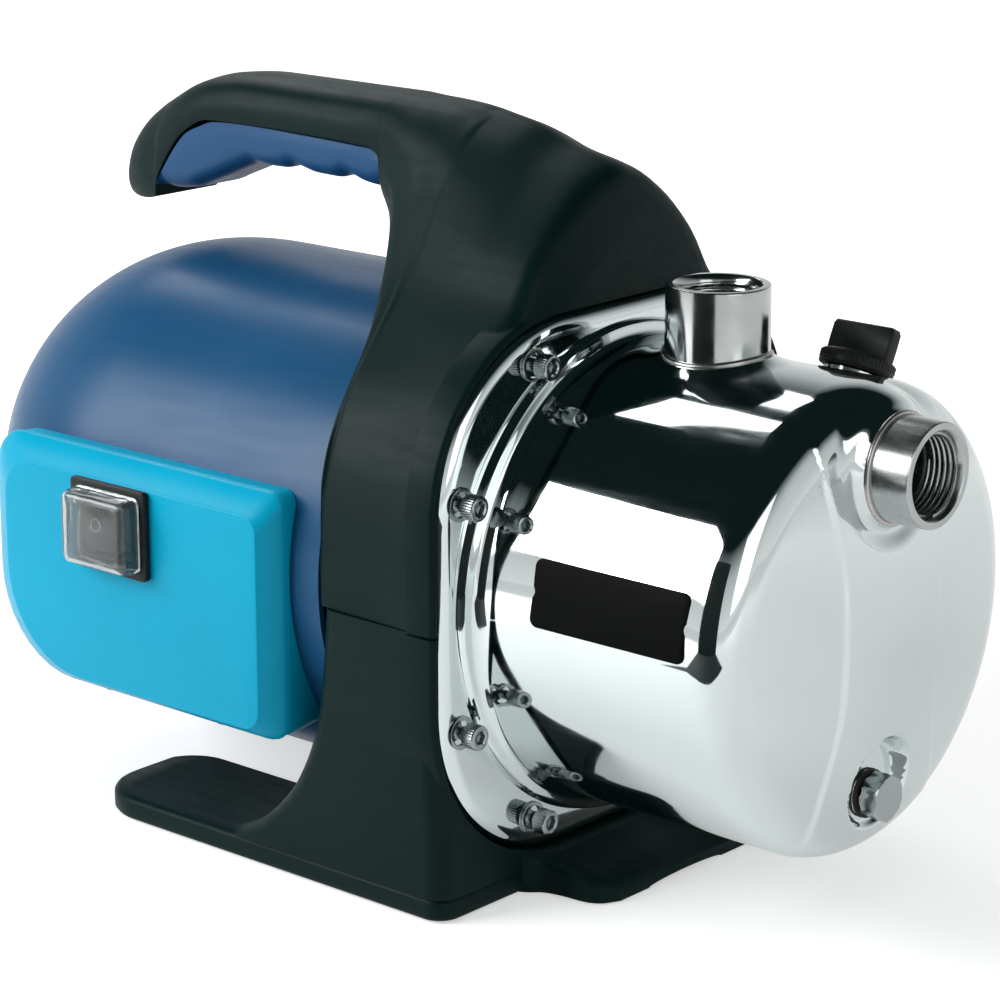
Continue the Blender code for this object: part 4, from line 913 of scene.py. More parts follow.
def chamfered_hexagon(across, low, high, origin, along, segments=72):
    """Hexagon with both ends turned off at an angle, as one skin of even rings."""
    axis = along.normalized()
    side = Y
    up = axis.cross(side)
    corner = across / 2 / math.cos(math.pi / 6)
    rings = []
    rows = [(low, across / 2 - 0.6), (low + 0.5, across / 2)]
    rows += [(high - 0.8 + 0.8 * i / 4, corner - 1.1 * i / 4) for i in range(5)]
    rows.insert(2, (low + 1.6, corner))
    for height, limit in rows:
        ring = []
        for t in circle_turns(segments):
            inside = (t + math.pi / 6) % (math.pi / 3) - math.pi / 6
            flat = across / 2 / math.cos(inside)
            r = min(flat, limit)
            ring.append(origin + axis * height + r * (math.cos(t) * side + math.sin(t) * up))
        rings.append(ring)
    rings.append([origin + axis * high])
    return loft(rings)


class PUMP_OT_plugs(Operator):
    """Priming plug with its wing and ribbed collar, and the hexagonal drain plug"""
    bl_idname = "pump.plugs"
    bl_label = "Plugs"

    def execute(self, context):
        low, high, edge, top = 1.5, 5.9, 14.7, 18.6
        collar = ((-9.0, 0), (-9.0, 8.4), (-8.2, 9.0), (0.0, 9.4), (low, 9.4), (low, 14.05), (0.3, 14.05),
                  (0.3, edge - 0.25),
                  (0.7, edge), (high - 1.2, edge), (high - 0.4, edge - 0.4), (high, edge - 1.2), (high, 0))
        plug = new_object("priming_cap", turned(collar, FILLER_SEAT, FILLER_AXIS, 120),
                          finish("black_plastic"), 32.0)
        cross = X.cross(FILLER_AXIS)
        wing_line = ((-13.8, low + 1.0), (13.8, low + 1.0), (14.0, 12.0), (13.9, top - 1.6), (12.9, top),
                     (-12.9, top),
                     (-13.9, top - 1.6), (-14.0, 12.0))
        rings = [[FILLER_SEAT + X * (u * squeeze) + FILLER_AXIS * (v - drop * (v > 14)) + cross * w for u,
                  v in wing_line]
                 for w, squeeze, drop in ((-3.2, 0.96, 0.5), (-2.6, 1.0, 0.0), (2.6, 1.0, 0.0),
                                          (3.2, 0.96, 0.5))]
        cut(plug, loft(rings), operation="UNION", sharp=32.0)
        soften(plug, 0.4)
        ribs = run_tree("priming_ribs", knurl_tree, None, 40.0, Count=52, Radius=(edge - 0.25) * MM,
                        Height=2.8 * MM,
                        Width=0.45 * MM, Finish=finish("black_plastic"))
        move_mesh(ribs, FILLER_SEAT + FILLER_AXIS * 3.6, FILLER_AXIS)
        place(plug, "priming_cap", "black_plastic", "priming_plug")
        place(ribs, "priming_cap", "black_plastic")
        origin = Vector((0, 0, DRAIN_Z))
        low, tip = DRAIN_HIGH.x - 8.4, DRAIN_LOW.x
        head = joined(chamfered_hexagon(17.0, low, DRAIN_HIGH.x, origin, X),
                      turned(((tip, 0), (tip, 5.4), (tip + 1.0, 6.0), (low - 0.1, 6.0), (low - 0.1, 0)),
                             origin, X, 48))
        drain = new_object("drain_screw_head", head, finish("drain_steel"), 24.0)
        place(drain, "drain_screw", "turned_steel", "drain_plug")
        return {"FINISHED"}


def screw_places():
    """Seats of the eight flange screws."""
    points = []
    for angle in SCREW_ANGLES:
        for side in (1, -1):
            for flip in (0.0, 180.0):
                t = math.radians(side * angle + flip)
                points.append(Vector((0, SCREW_CIRCLE_R * math.sin(t),
                                      SHAFT_Z + SCREW_CIRCLE_R * math.cos(t))))
    return points


def socket_screw(head_r, head_high, shank_r, shank_long, socket_across):
    """Cap screw with a knurled head and a hexagon socket, pointing along +X from its seat."""
    steps = 72
    rings = []

    def ring(x, radius, ripple=0.0, hexagon=0.0):
        row = []
        for i, t in enumerate(circle_turns(steps)):
            r = radius + (ripple if i % 2 else 0.0)
            if hexagon:
                inside = (t + math.pi / 6) % (math.pi / 3) - math.pi / 6
                r = hexagon / 2 / math.cos(inside)
            row.append(Vector((x, r * math.sin(t), r * math.cos(t))))
        return row
    rings.append([Vector((-shank_long, 0, 0))])
    rings += [ring(-shank_long, shank_r - 0.4), ring(-shank_long + 0.5, shank_r), ring(0, shank_r),
              ring(0, head_r - 0.2)]
    rings += [ring(0.3, head_r, -0.22), ring(head_high - 0.9, head_r, -0.22),
              ring(head_high - 0.7, head_r - 0.1)]
    rings += [ring(head_high - 0.3, head_r - 0.3), ring(head_high, head_r - 0.9),
              ring(head_high, socket_across / 2 + 0.75)]
    rings += [ring(head_high - 0.4, 0, 0, socket_across), ring(head_high - 2.6, 0, 0, socket_across)]
    rings.append([Vector((head_high - 3.2, 0, 0))])
    return loft(rings)


class PUMP_OT_screws(Operator):
    """Socket cap screws round the rim and the small screws of the switch box"""
    bl_idname = "pump.screws"
    bl_label = "Screws"

    def execute(self, context):
        pattern = new_object("screw_pattern", socket_screw(5.0, 6.0, 2.8, 7.5, 5.0), finish("screw_steel"),
                             30.0)
        reach = node_box("flange_screw_1")
        rows = (screw_places(), [])
        row = run_tree("rim_screws", screw_row_tree, rows, 30.0, Fastener=pattern,
                       Finish=finish("screw_steel"))
        row.data.transform(Matrix.Translation(Vector((max(0.0, reach[1].x - 6.0) * MM, 0, 0))))
        place(row, "pump", "screw_steel", *[f"flange_screw_{n}" for n in range(1, 9)])
        washer = joined(*[turned(((0.1, 5.0), (0.1, 6.6), (0.9, 6.6), (1.0, 6.4), (1.0, 5.0)), p, X, 48)
                          for p in rows[0]])
        place(new_object("rim_washers", washer, finish("screw_steel"), 30.0), "pump", "screw_steel")
        bpy.data.objects.remove(pattern)
        small = new_object("small_screw_pattern", socket_screw(2.8, 1.4, 1.5, 4.0, 2.0),
                           finish("screw_steel"), 30.0)
        small.data.transform(X.rotation_difference(-Z).to_matrix().to_4x4())
        spots = []
        for number in (1, 2):
            low, high = node_box(f"box_screw_{number}")
            spots.append(Vector(((low.x + high.x) / 2, (low.y + high.y) / 2, low.z + 5.2)))
        row = run_tree("box_screws", screw_row_tree, (spots, []), 30.0, Fastener=small,
                       Finish=finish("screw_steel"))
        place(row, "pump", "screw_steel", "box_screw_1", "box_screw_2")
        bpy.data.objects.remove(small)
        return {"FINISHED"}


class PUMP_OT_label(Operator):
    """Blank name plate film on the side of the casing"""
    bl_idname = "pump.label"
    bl_label = "Blank Label"

    def execute(self, context):
        low, high = node_box("side_label")
        middle = (low.z + high.z) / 2 - SHAFT_Z
        tall, left, right = 13.0, low.x, high.x
        outline = rounded_rectangle((left, middle - tall), (right, middle + tall), 3.2, 8)
        rings = []
        for radius, inset in ((BARREL_R + 0.02, 0.0), (BARREL_R + 0.38, 0.0), (BARREL_R + 0.5, 0.25)):
            ring = []
            for u, v in outline:
                u += inset if u < (left + right) / 2 else -inset
                ring.append((u, v, radius))
            rings.append(ring)
        points, faces = film_patch(rings[-1], middle, (left + right) / 2)
        skirt = loft([[wrapped(*p) for p in ring] for ring in rings])
        base = (skirt[0], skirt[1][:-1])
        film = new_object("side_plate", joined(base, (points, faces)), finish("label_film"), 40.0)
        place(film, "pump", "label_film", "side_label")
        return {"FINISHED"}


def wrapped(x, height, radius):
    """Point on the barrel's near side at a height measured round the barrel."""
    turn = height / BARREL_R
    return Vector((x, -radius * math.cos(turn), SHAFT_Z + radius * math.sin(turn)))


def film_patch(ring, middle, centre, rows=14):
    """Curved fill of a closed outline: rings that shrink to its middle."""
    rings = []
    for i in range(rows):
        share = 1 - i / rows
        rings.append([wrapped(centre + (x - centre) * share, middle + (h - middle) * share, r) for x, h,
                      r in ring])
    rings.append([wrapped(centre, middle, ring[0][2])])
    points, faces = loft(rings)
    return points, faces[:-1] if len(faces[-1]) > 4 else faces


# ---------------------------------------------------------------- motor cover and switch

class PUMP_OT_motor_cover(Operator):
    """Glossy motor cover with its air slots, and the cable gland"""
    bl_idname = "pump.motor_cover"
    bl_label = "Motor Cover"

    def execute(self, context):
        sizes = context.scene.pump_sizes
        cover = run_tree("motor_shell", cover_tree, None, 40.0, Radius=COVER_R * MM, Front=COVER_HIGH.x * MM,
                         Taper=sizes.cover_taper * MM, Rear=COVER_LOW.x * MM, Height=SHAFT_Z * MM, Around=193,
                         Along=90,
                         Finish=finish("cover_plastic"))
        work = bmesh.new()
        work.from_mesh(cover.data)
        bmesh.ops.remove_doubles(work, verts=work.verts, dist=2e-6)
        bmesh.ops.recalc_face_normals(work, faces=work.faces)
        probe = max(work.faces, key=lambda f: f.calc_center_median().z)
        if probe.normal.z < 0:
            bmesh.ops.reverse_faces(work, faces=work.faces)
        work.to_mesh(cover.data)
        work.free()
        wall = cover.modifiers.new("wall", "SOLIDIFY")
        wall.thickness = 2.6 * MM
        wall.offset = -1.0
        bake(cover, 40.0)
        slots = []
        for row in range(-2, 3):
            z = SHAFT_Z + row * 13.0
            half = 30.0 - 4.0 * abs(row)
            slots.append(prism(rounded_rectangle((-half, z - 2.4), (half, z + 2.4), 2.35, 6), "X",
                               COVER_LOW.x - 5.0,
                               COVER_LOW.x + 22.0))
        opening = rounded_rectangle((BOX_LOW.x + 44.0, BOX_LOW.z + 24.0),
                                    (BOX_HIGH.x - 9.0, BOX_HIGH.z - 8.0), 6.0)
        slots.append(prism(opening, "Y", -120.0, -70.0))
        cut(cover, *slots, sharp=38.0)
        place(cover, "pump", "cover_plastic", "motor_cover")
        outward = Vector((0, math.sin(math.radians(118)), math.cos(math.radians(118))))
        gland = [(98.0, 4.2), (98.0, 7.4), (103.4, 7.4), (103.4, 11.5), (108.6, 11.5), (109.4, 10.6),
                 (110.2, 9.4)]
        for i in range(7):
            gland += [(111.0 + i * 1.4, 9.2 - i * 0.1), (111.7 + i * 1.4, 8.5 - i * 0.1)]
        gland += [(121.0, 7.6), (121.0, 4.2)]
        inlet = new_object("cord_inlet", turned(gland, Vector((-110.0, 0, SHAFT_Z)), outward, 48),
                           finish("black_plastic"), 30.0)
        place(inlet, "pump", "black_plastic", "cable_gland")
        return {"FINISHED"}


def box_outline(inset, steps=9):
    """Outline of the switch box in X and Z; the lower rear corner is much rounder."""
    low = (BOX_LOW.x + inset * 1.6, BOX_LOW.z + inset * 0.6)
    high = (BOX_HIGH.x - inset * 0.7, BOX_HIGH.z - inset)
    outline = []
    for u_high, v_high, radius, quarter in ((1, 1, 7.0, 0), (0, 1, 16.0, 1), (0, 0, 42.0, 2), (1, 0, 9.0, 3)):
        u = high[0] - radius if u_high else low[0] + radius
        v = high[1] - radius if v_high else low[1] + radius
        for i in range(steps + 1):
            turn = math.pi / 2 * (quarter + i / steps)
            outline.append((u + radius * math.cos(turn), v + radius * math.sin(turn)))
    return outline


def box_layers(layers, parts):
    """Skin over outlines of the switch box, from (y, inset) steps."""
    rings = []
    for y, inset in smooth_points(layers, parts):
        rings.append([Vector((u, y, v)) for u, v in box_outline(inset)])
    return loft(rings)


class PUMP_OT_switch_box(Operator):
    """Switch box: base, front cover with its sloped edges, bezel, rocker and clear boot"""
    bl_idname = "pump.switch_box"
    bl_label = "Switch Box"

    def execute(self, context):
        join = BOX_HIGH.y
        face = BOX_LOW.y
        seat = turned(((-330.0, 0), (-330.0, COVER_R + 0.3), (-40.0, COVER_R + 0.3), (-40.0, 0)), steps=160)
        front = box_layers(((join, 0.0), (join - 1.6, 0.35), (join - 5.4, 3.2), (face + 0.8, 8.6),
                            (face + 0.2, 9.3),
                            (face, 10.2)), 5)
        cover = new_object("switch_box_front", front, finish("box_plastic"), 50.0)
        hollow = box_layers(((-90.0, 3.0), (join - 2.0, 3.6), (join - 6.0, 7.0), (face + 2.5, 12.0)), 1)
        window = prism(rounded_rectangle((SWITCH_X - 17.5, SWITCH_Z - 14.5),
                                         (SWITCH_X + 17.5, SWITCH_Z + 14.5), 2.0),
                       "Y", -130.0, -95.0)
        cut(cover, hollow, window, seat, sharp=50.0)
        place(cover, "pump", "box_plastic", "switch_box_cover")
        back = box_layers(((-78.0, 3.0), (-95.0, 0.8), (join + 0.9, 0.5), (join + 0.35, 1.0)), 3)
        base = new_object("switch_box_back", back, finish("box_plastic"), 50.0)
        cut(base, box_layers(((-70.0, 9.0), (-110.0, 9.0)), 1), seat, sharp=50.0)
        place(base, "pump", "box_plastic", "switch_box_base")
        self.bezel()
        self.rocker()
        self.boot()
        return {"FINISHED"}

    def bezel(self):
        """Flat frame with softened edges round the rocker."""
        low, high = (BEZEL_LOW.x, BEZEL_LOW.z), (BEZEL_HIGH.x, BEZEL_HIGH.z)
        rim = new_object("switch_frame", prism(rounded_rectangle(low, high, 2.0), "Y", BEZEL_LOW.y,
                                               BEZEL_HIGH.y),
                         finish("black_plastic"), 35.0)
        cut(rim, prism(rounded_rectangle((SWITCH_X - 15.2, SWITCH_Z - 12.2),
                                         (SWITCH_X + 15.2, SWITCH_Z + 12.2), 1.5),
                       "Y", -130.0, -100.0))
        place(soften(rim, 0.6, 50.0), "pump", "black_plastic", "switch_bezel")

    def rocker(self):
        """Rocker with a dished face and an I and an O printed on it."""
        pivot = Vector((SWITCH_X, -116.5, SWITCH_Z))
        outline = [(-13.6, 2.0), (-13.6, -2.2), (-13.1, -2.6)]
        outline += [(u, -0.3 - 2.2 * (abs(u) / 13.0) ** 1.6) for u in (-10, -7, -4, 0, 4, 7, 10)]
        outline += [(13.1, -2.6), (13.6, -2.2), (13.6, 2.0), (6.0, 3.4), (-6.0, 3.4)]
        body = new_object("rocker_key", loft([[pivot + Vector((u * k, v, w)) for u, v in outline]
                                              for w, k in ((-10.8, 0.985), (-10.3, 1.0), (10.3, 1.0),
                                                           (10.8, 0.985))]),
                          finish("rocker_plastic"), 35.0)
        place(body, "rocker", "black_plastic", "switch_rocker")
        lift = lambda u: -0.3 - 2.2 * (abs(u) / 13.0) ** 1.6 - 0.06
        bar = [pivot + Vector((7.4 + dx, lift(7.4 + dx), dz)) for dx,
               dz in ((-0.45, -3.2), (0.45, -3.2), (0.45, 3.2), (-0.45, 3.2))]
        ring = []
        for r in (3.1, 2.2):
            ring.append([pivot + Vector((-7.4 + r * math.cos(t), lift(-7.4 + r * math.cos(t)),
                                         r * math.sin(t)))
                         for t in circle_turns(40)])
        points, faces = ring[0] + ring[1], [(i, (i + 1) % 40, 40 + (i + 1) % 40, 40 + i) for i in range(40)]
        marks = new_object("rocker_marks", joined((bar, [(0, 1, 2, 3)]), (points, faces)),
                           finish("mark_paint"), 60.0)
        wall = marks.modifiers.new("film", "SOLIDIFY")
        wall.thickness = 0.1 * MM
        bake(marks, 60.0)
        place(marks, "rocker", "black_plastic")

    def boot(self):
        """Soft clear hood clamped by the frame."""
        low, high = BOOT_HIGH.y, BOOT_LOW.y
        outer = ((low, 0.0), (low - 0.8, 0.1), (high + 2.4, 1.0), (high + 0.7, 1.9), (high, 3.4))
        rings = [[Vector((u, y, v)) for u, v in rounded_rectangle((BOOT_LOW.x + k, BOOT_LOW.z + k),
                                                                  (BOOT_HIGH.x - k, BOOT_HIGH.z - k), 3.4)]
                 for y, k in smooth_points(outer, 3)]
        hood = new_object("switch_hood", loft(rings), finish("smoky_boot"), 45.0)
        inner = [[Vector((u, y, v)) for u, v in rounded_rectangle((BOOT_LOW.x + k, BOOT_LOW.z + k),
                                                                  (BOOT_HIGH.x - k, BOOT_HIGH.z - k), 2.4)]
                 for y, k in ((low + 4.0, 1.4), (high + 3.0, 2.0), (high + 1.3, 4.0))]
        cut(hood, loft(inner), sharp=45.0)
        place(hood, "pump", "clear_boot", "switch_boot")


# ---------------------------------------------------------------- stand and handle

# Hood and handle in sections across X: (x, half outline from the lower edge to the top middle),
# heights above the shaft axis.
HOOD_SECTIONS = (
    (-1.0, ((101, -4.7), (100.5, 24), (96, 46), (85, 68), (68, 89), (53.5, 104), (42, 122), (26, 138.5),
            (12, 147), (0, 150))),
    (-2.6, ((105.5, -4.7), (105, 24.5), (100.5, 48), (89, 71), (72, 92.5), (57.5, 107.5), (45.8, 125.5),
            (28.5, 142.5), (13.3, 151.5), (0, 155))),
    (-8.5, ((109, -4.7), (108.5, 25), (103.5, 50), (92, 73.5), (75, 95.5), (60, 110.5), (48, 129),
            (30, 146.5), (14, 156), (0, 159.5))),
    (-30.0, ((108, -4.7), (107, 25), (102.5, 50), (91, 74), (73, 97), (59, 112.5), (47, 131.5), (30, 150),
             (14, 161), (0, 165))),
    (-45.0, ((107.5, -4.7), (106.5, 25), (102, 50), (90, 75), (71, 98), (57, 114.5), (44, 135), (28, 155),
             (14, 166), (0, 170.5))),
    (-62.0, ((106.5, -4.7), (105.5, 25), (101, 50), (89, 76), (68.5, 99), (53, 117), (40, 139.5), (27, 158.5),
             (13, 169.5), (0, 173.7))),
    (-64.5, ((103.5, 40), (101, 51), (95, 65), (85, 80), (67, 101), (51, 119), (38, 141), (26, 160),
             (13, 170.3), (0, 174))),
    (-70.0, ((71, 93), (68, 97), (63, 102.5), (57, 109), (50, 118), (43, 130), (35, 144.5), (26, 160.5),
             (13, 171.2), (0, 175))),
    (-78.0, ((56, 106), (54, 109.5), (51, 114), (47.5, 119.5), (42.5, 127.5), (37.5, 137), (31.5, 149),
             (24, 163), (13, 172.5), (0, 175.7))),
    (-88.0, ((40, 121), (39, 125), (37.5, 129), (35.5, 134), (33, 140), (30, 148), (27, 157), (22, 166),
             (13, 173.4), (0, 176.2))),
    (-98.0, ((28, 132), (28, 136), (27.5, 140), (27, 144), (26, 149), (25, 155), (23.5, 162), (19.5, 168.8),
             (12, 174.2), (0, 176.5))),
    (-109.8, ((20.5, 142), (21, 145), (21, 148), (21, 151), (21, 155), (21, 159.5), (20.3, 164.8),
              (17.8, 170.5), (11.5, 175.2), (0, 176.8))),
    (-110.6, ((20.5, 152), (20.8, 153.5), (21, 155), (21, 157), (21, 159.5), (20.8, 162.5), (19.9, 166.5),
              (17.5, 171), (11.3, 175.3), (0, 176.8))),
    (-117.0, ((20.2, 156), (20.5, 157), (20.6, 158.2), (20.6, 159.8), (20.5, 161.8), (20.2, 164.2),
              (19.3, 167.6), (17, 171.6), (11, 175.4), (0, 176.8))),
    (-187.0, ((20, 157.6), (20.3, 158.4), (20.4, 159.4), (20.4, 160.8), (20.3, 162.6), (20, 164.8),
              (19, 168), (16.8, 171.8), (11, 175.5), (0, 176.8))),
    (-209.0, ((20, 157), (20.2, 157.8), (20.3, 158.8), (20.3, 160), (20.2, 161.6), (19.8, 163.6),
              (18.8, 166.6), (16.4, 170.2), (10.6, 173.6), (0, 174.8))),
    (-223.0, ((19.8, 151), (20, 152), (20.1, 153.2), (20.1, 154.8), (19.9, 156.8), (19.4, 159.4),
              (18.2, 162.8), (15.8, 166.4), (10.2, 169.8), (0, 171))),
    (-235.0, ((19.3, 138.5), (19.5, 140.5), (19.5, 143), (19.4, 146), (19, 149.2), (18.3, 152.6),
              (17.1, 156.4), (14.8, 160.4), (9.6, 164), (0, 165.3))),
    (-242.0, ((18.6, 127), (18.8, 130), (18.8, 133.5), (18.6, 137.5), (18.2, 142), (17.5, 146.6),
              (16.2, 151.4), (14, 156), (9, 160.2), (0, 161.8))),
    (-243.2, ((18.4, 120.5), (18.6, 124.5), (18.6, 129), (18.4, 134), (18, 139.5), (17.2, 145), (16, 150.4),
              (13.8, 155.4), (8.9, 159.6), (0, 161.2))),
    (-256.0, ((15, 118.5), (15.6, 121.5), (15.8, 125), (15.8, 129), (15.5, 133.5), (14.8, 138.2),
              (13.6, 143), (11.6, 147.4), (7.6, 151.2), (0, 152.6))),
    (-267.0, ((10, 120), (10.8, 122), (11.2, 124.4), (11.2, 127), (10.8, 129.8), (10.2, 132.6),
              (9.2, 135.6), (7.8, 138.4), (5, 140.8), (0, 141.8))),
    (-272.5, ((4.5, 124.5), (5, 125.3), (5.2, 126.2), (5.2, 127.2), (5, 128.4), (4.7, 129.6), (4.2, 130.8),
              (3.4, 131.8), (2.2, 132.6), (0, 133))),
)

GRIP_LINE = (
    (-241.4, 125.2, 126.4), (-234.6, 124.6, 137.0), (-223.2, 126.0, 149.6), (-215.0, 129.2, 153.4),
    (-206.5, 132.6, 156.2), (-195.0, 137.4, 156.9), (-185.0, 140.6, 157.0), (-177.0, 140.2, 156.9),
    (-170.0, 140.4, 156.8), (-162.3, 142.2, 156.6), (-151.0, 140.2, 156.3), (-140.0, 140.0, 156.0),
    (-132.3, 142.0, 155.7), (-123.5, 139.8, 155.4), (-117.2, 139.2, 155.2), (-111.2, 140.6, 151.0),
    (-110.2, 142.0, 143.2),
)

BASE_SECTIONS = ((SHAFT_Z - 5.0, -62.0, 109.0), (81.0, -66.0, 108.4), (61.0, -71.0, 107.8),
                 (41.0, -80.5, 107.2),
                 (29.0, -90.0, 106.9), (19.0, -101.0, 106.6), (13.0, -110.0, 106.4), (9.0, -120.0, 106.2))
FOOT_BACK, FOOT_HALF = -200.0, 106.0


def even_sections(sections, parts, around):
    """Sections joined along X by smooth curves, each with that many parts between its points."""
    rings = []
    places = [0.0]
    for before, after in zip(sections, sections[1:]):
        gap = max(math.dist((before[0], *p), (after[0], *q)) for p, q in zip(before[1], after[1]))
        places.append(places[-1] + max(gap, 0.4))
    wanted = []
    for number in range(len(places) - 1):
        steps = max(2, min(parts, round((places[number + 1] - places[number]) / 1.6)))
        wanted += [places[number] + (places[number + 1] - places[number]) * k / steps for k in range(steps)]
    wanted.append(places[-1])
    xs = steady_curve(places, [x for x, _ in sections], wanted)
    tracks = []
    for index in range(len(sections[0][1])):
        tracks.append([steady_curve(places, [half[index][axis] for _, half in sections], wanted)
                       for axis in (0, 1)])
    for k, x in enumerate(xs):
        half = [(track[0][k], track[1][k]) for track in tracks]
        mirrored = half + [(-y, z) for y, z in half[-2::-1]]
        line = smooth_points(mirrored, around)
        rings.append([Vector((x, y, SHAFT_Z + z)) for y, z in line])
    return rings


def shrink_ring(x, half, amount):
    """Closed ring of a section moved in from its side, for a wall of that thickness."""
    points = [(y, z) for y, z in half] + [(-y, z) for y, z in half[-2::-1]]
    inner = []
    for number, (y, z) in enumerate(points):
        if number in (0, len(points) - 1):
            inner.append(Vector((x, y - math.copysign(amount, y), SHAFT_Z + z - 4.0)))
            continue
        before, after = points[number - 1], points[number + 1]
        edge = Vector((after[0] - before[0], after[1] - before[1])).normalized()
        inner.append(Vector((x, y - edge.y * amount, SHAFT_Z + z + edge.x * amount)))
    return inner


def stand_openings():
    """Recess for the flange, tunnel for the motor, and the seat on its cover."""
    turns = circle_turns(160)
    recess = loft([flange_ring(x, -0.7, turns) for x in (-16.0, 6.0)])
    tunnel = turned(((-80.0, 0), (-80.0, 82.0), (-10.0, 82.0), (-10.0, 0)), steps=120)
    front = COVER_HIGH.x + 0.9
    seat = turned(((-330.0, 0), (-330.0, COVER_R + 0.9), (front, COVER_R + 0.9), (front, 0)), steps=200)
    return recess, tunnel, seat


RIM_SECTION = ((-15.0, -0.2), (-15.0, -3.4), (-3.4, -3.4), (-2.2, -3.0), (-1.4, -2.1), (-1.2, -1.2),
               (-1.8, -0.2))


def stand_rim(start, end, parts):
    """Lip of the stand round the flange, from one turn to another (degrees from straight up)."""
    rings = []
    for i in range(parts + 1):
        t = math.radians(start + (end - start) * i / parts)
        rings.append([flange_ring(x, inset, [t])[0] for x, inset in RIM_SECTION])
    return loft(rings)


class PUMP_OT_hood(Operator):
    """Upper half of the stand: the hood over the flange that runs out into the handle"""
    bl_idname = "pump.hood"
    bl_label = "Hood and Handle"

    def execute(self, context):
        hood = new_object("stand_upper", loft(even_sections(HOOD_SECTIONS, 14, 5)), finish("stand_plastic"),
                          50.0)
        inner = loft([shrink_ring(x, HOOD_SECTIONS[i][1], 3.6) for i,
                      x in ((2, -5.0), (3, -30.0), (4, -45.0), (5, -58.0))])
        cut(hood, stand_rim(-92.4, 92.4, 120), operation="UNION", sharp=46.0)
        cut(hood, inner, *stand_openings(), sharp=46.0)
        place(hood, "pump", "stand_plastic", "stand_hood")
        rows = []
        for x, low, high in smooth_points(GRIP_LINE, 8):
            middle, near = min(high - 0.4, low + 7.0), min(high - 0.6, low + 2.2)
            half = ((19.0, high), (19.6, (high + middle) / 2), (19.4, middle), (16.5, near), (10.4, low),
                    (0.0, low - 0.01))
            half = smooth_points(half, 4)
            rows.append([Vector((x, y, SHAFT_Z + z)) for y, z in half] +
                        [Vector((x, -y, SHAFT_Z + z)) for y, z in half[-2::-1]])
        grip = new_object("grip_insert", loft(rows), finish("grip_plastic"), 55.0)
        place(grip, "pump", "grip_plastic", "handle_grip")
        return {"FINISHED"}


def base_ring(z, back, half, radius=9.0, steps=8, front=-1.0):
    """Level rounded outline of the stand's base."""
    return [Vector((u, v, z)) for u, v in rounded_rectangle((back, -half), (front, half), radius, steps)]


def notch_outline():
    """Gap between the rear feet; it widens round their tips."""
    back, half, tip, corner = FOOT_BACK - 20.0, 47.0, 20.0, 18.0
    side = [(back, half + tip)]
    for i in range(13):
        turn = math.pi / 2 * i / 12
        side.append((FOOT_BACK + tip - tip * math.cos(turn), half + tip - tip * math.sin(turn)))
    for i in range(11):
        turn = math.pi / 2 * (1 - i / 10)
        side.append((-66.0 - corner + corner * math.cos(turn), half - corner + corner * math.sin(turn)))
    return [(u, -v) for u, v in side] + side[::-1]


def foot_ring(z, inset):
    """Plan of the foot plate: wide round corners at the back, small ones in front."""
    outline = []
    for corner, radius in enumerate((9.0, 26.0, 26.0, 9.0)):
        u = -1.0 - inset - radius if corner in (0, 3) else FOOT_BACK + inset + radius
        v = FOOT_HALF - inset - radius if corner in (0, 1) else radius + inset - FOOT_HALF
        for i in range(13):
            turn = math.pi / 2 * (corner + i / 12)
            outline.append(Vector((u + radius * math.cos(turn), v + radius * math.sin(turn), z)))
    return outline


def front_foot():
    """Low foot in front, arched between its two resting ends."""
    table = ((-6.0, 62.0, 19.0, 0.0), (1.0, 58.0, 15.4, 0.0), (6.0, 54.0, 13.0, 0.4), (14.0, 52.0, 10.4, 3.4),
             (24.0, 51.0, 8.6, 4.8), (30.0, 48.0, 7.2, 3.6), (34.0, 41.0, 5.0, 1.6))
    rings = []
    for x, half, top, arch in smooth_points(table, 5):
        lower = [(half - 18.0 * i / 6, 0.0) for i in range(6)]
        lower += [((half - 18.0) * math.cos(math.pi * i / 24), arch * math.sin(math.pi * i / 24))
                  for i in range(0, 25)]
        lower += [(-y, z) for y, z in lower[5::-1]]
        upper = [(-half, top - 2.5), (-half + 0.7, top - 0.7), (-half + 2.5, top)]
        middle = [(-half + 2.5 + (2 * half - 5.0) * i / 12, top) for i in range(1, 12)]
        upper += middle + [(half - 2.5, top), (half - 0.7, top - 0.7), (half, top - 2.5)]
        rings.append([Vector((x, y, z)) for y, z in lower + upper])
    return loft(rings)


class PUMP_OT_base(Operator):
    """Lower half of the stand with its rear feet and its arched front foot"""
    bl_idname = "pump.base"
    bl_label = "Stand Base"

    def execute(self, context):
        heights = [-row[0] for row in BASE_SECTIONS]
        rows = []
        for part in range(49):
            z = BASE_SECTIONS[0][0] + (BASE_SECTIONS[-1][0] - BASE_SECTIONS[0][0]) * part / 48
            back = steady_curve(heights, [row[1] for row in BASE_SECTIONS], [-z])[0]
            half = steady_curve(heights, [row[2] for row in BASE_SECTIONS], [-z])[0]
            rows.append(base_ring(z, back, half))
        base = new_object("stand_lower", loft(rows), finish("stand_plastic"), 46.0)
        plate = loft([foot_ring(z, inset) for z, inset in ((0.0, 1.6), (0.5, 0.6), (1.6, 0.0), (7.3, 0.0),
                                                           (8.6, 0.5),
                                                           (9.3, 1.8))])
        cut(base, plate, front_foot(), stand_rim(93.0, 267.0, 120), operation="UNION", sharp=46.0)
        inner = loft([base_ring(z, back + 3.6, half - 3.6, front=-15.5) for z, back, half in
                      ((130.0, -62.0, 109.0), (81.0, -66.0, 108.4), (61.0, -66.0, 107.8),
                       (12.0, -66.0, 107.2))])
        cut(base, prism(notch_outline(), "Z", -5.0, 90.0), inner, *stand_openings(), sharp=46.0)
        place(base, "pump", "stand_plastic", "stand_base")
        return {"FINISHED"}


# ---------------------------------------------------------------- parts carried over from the frame

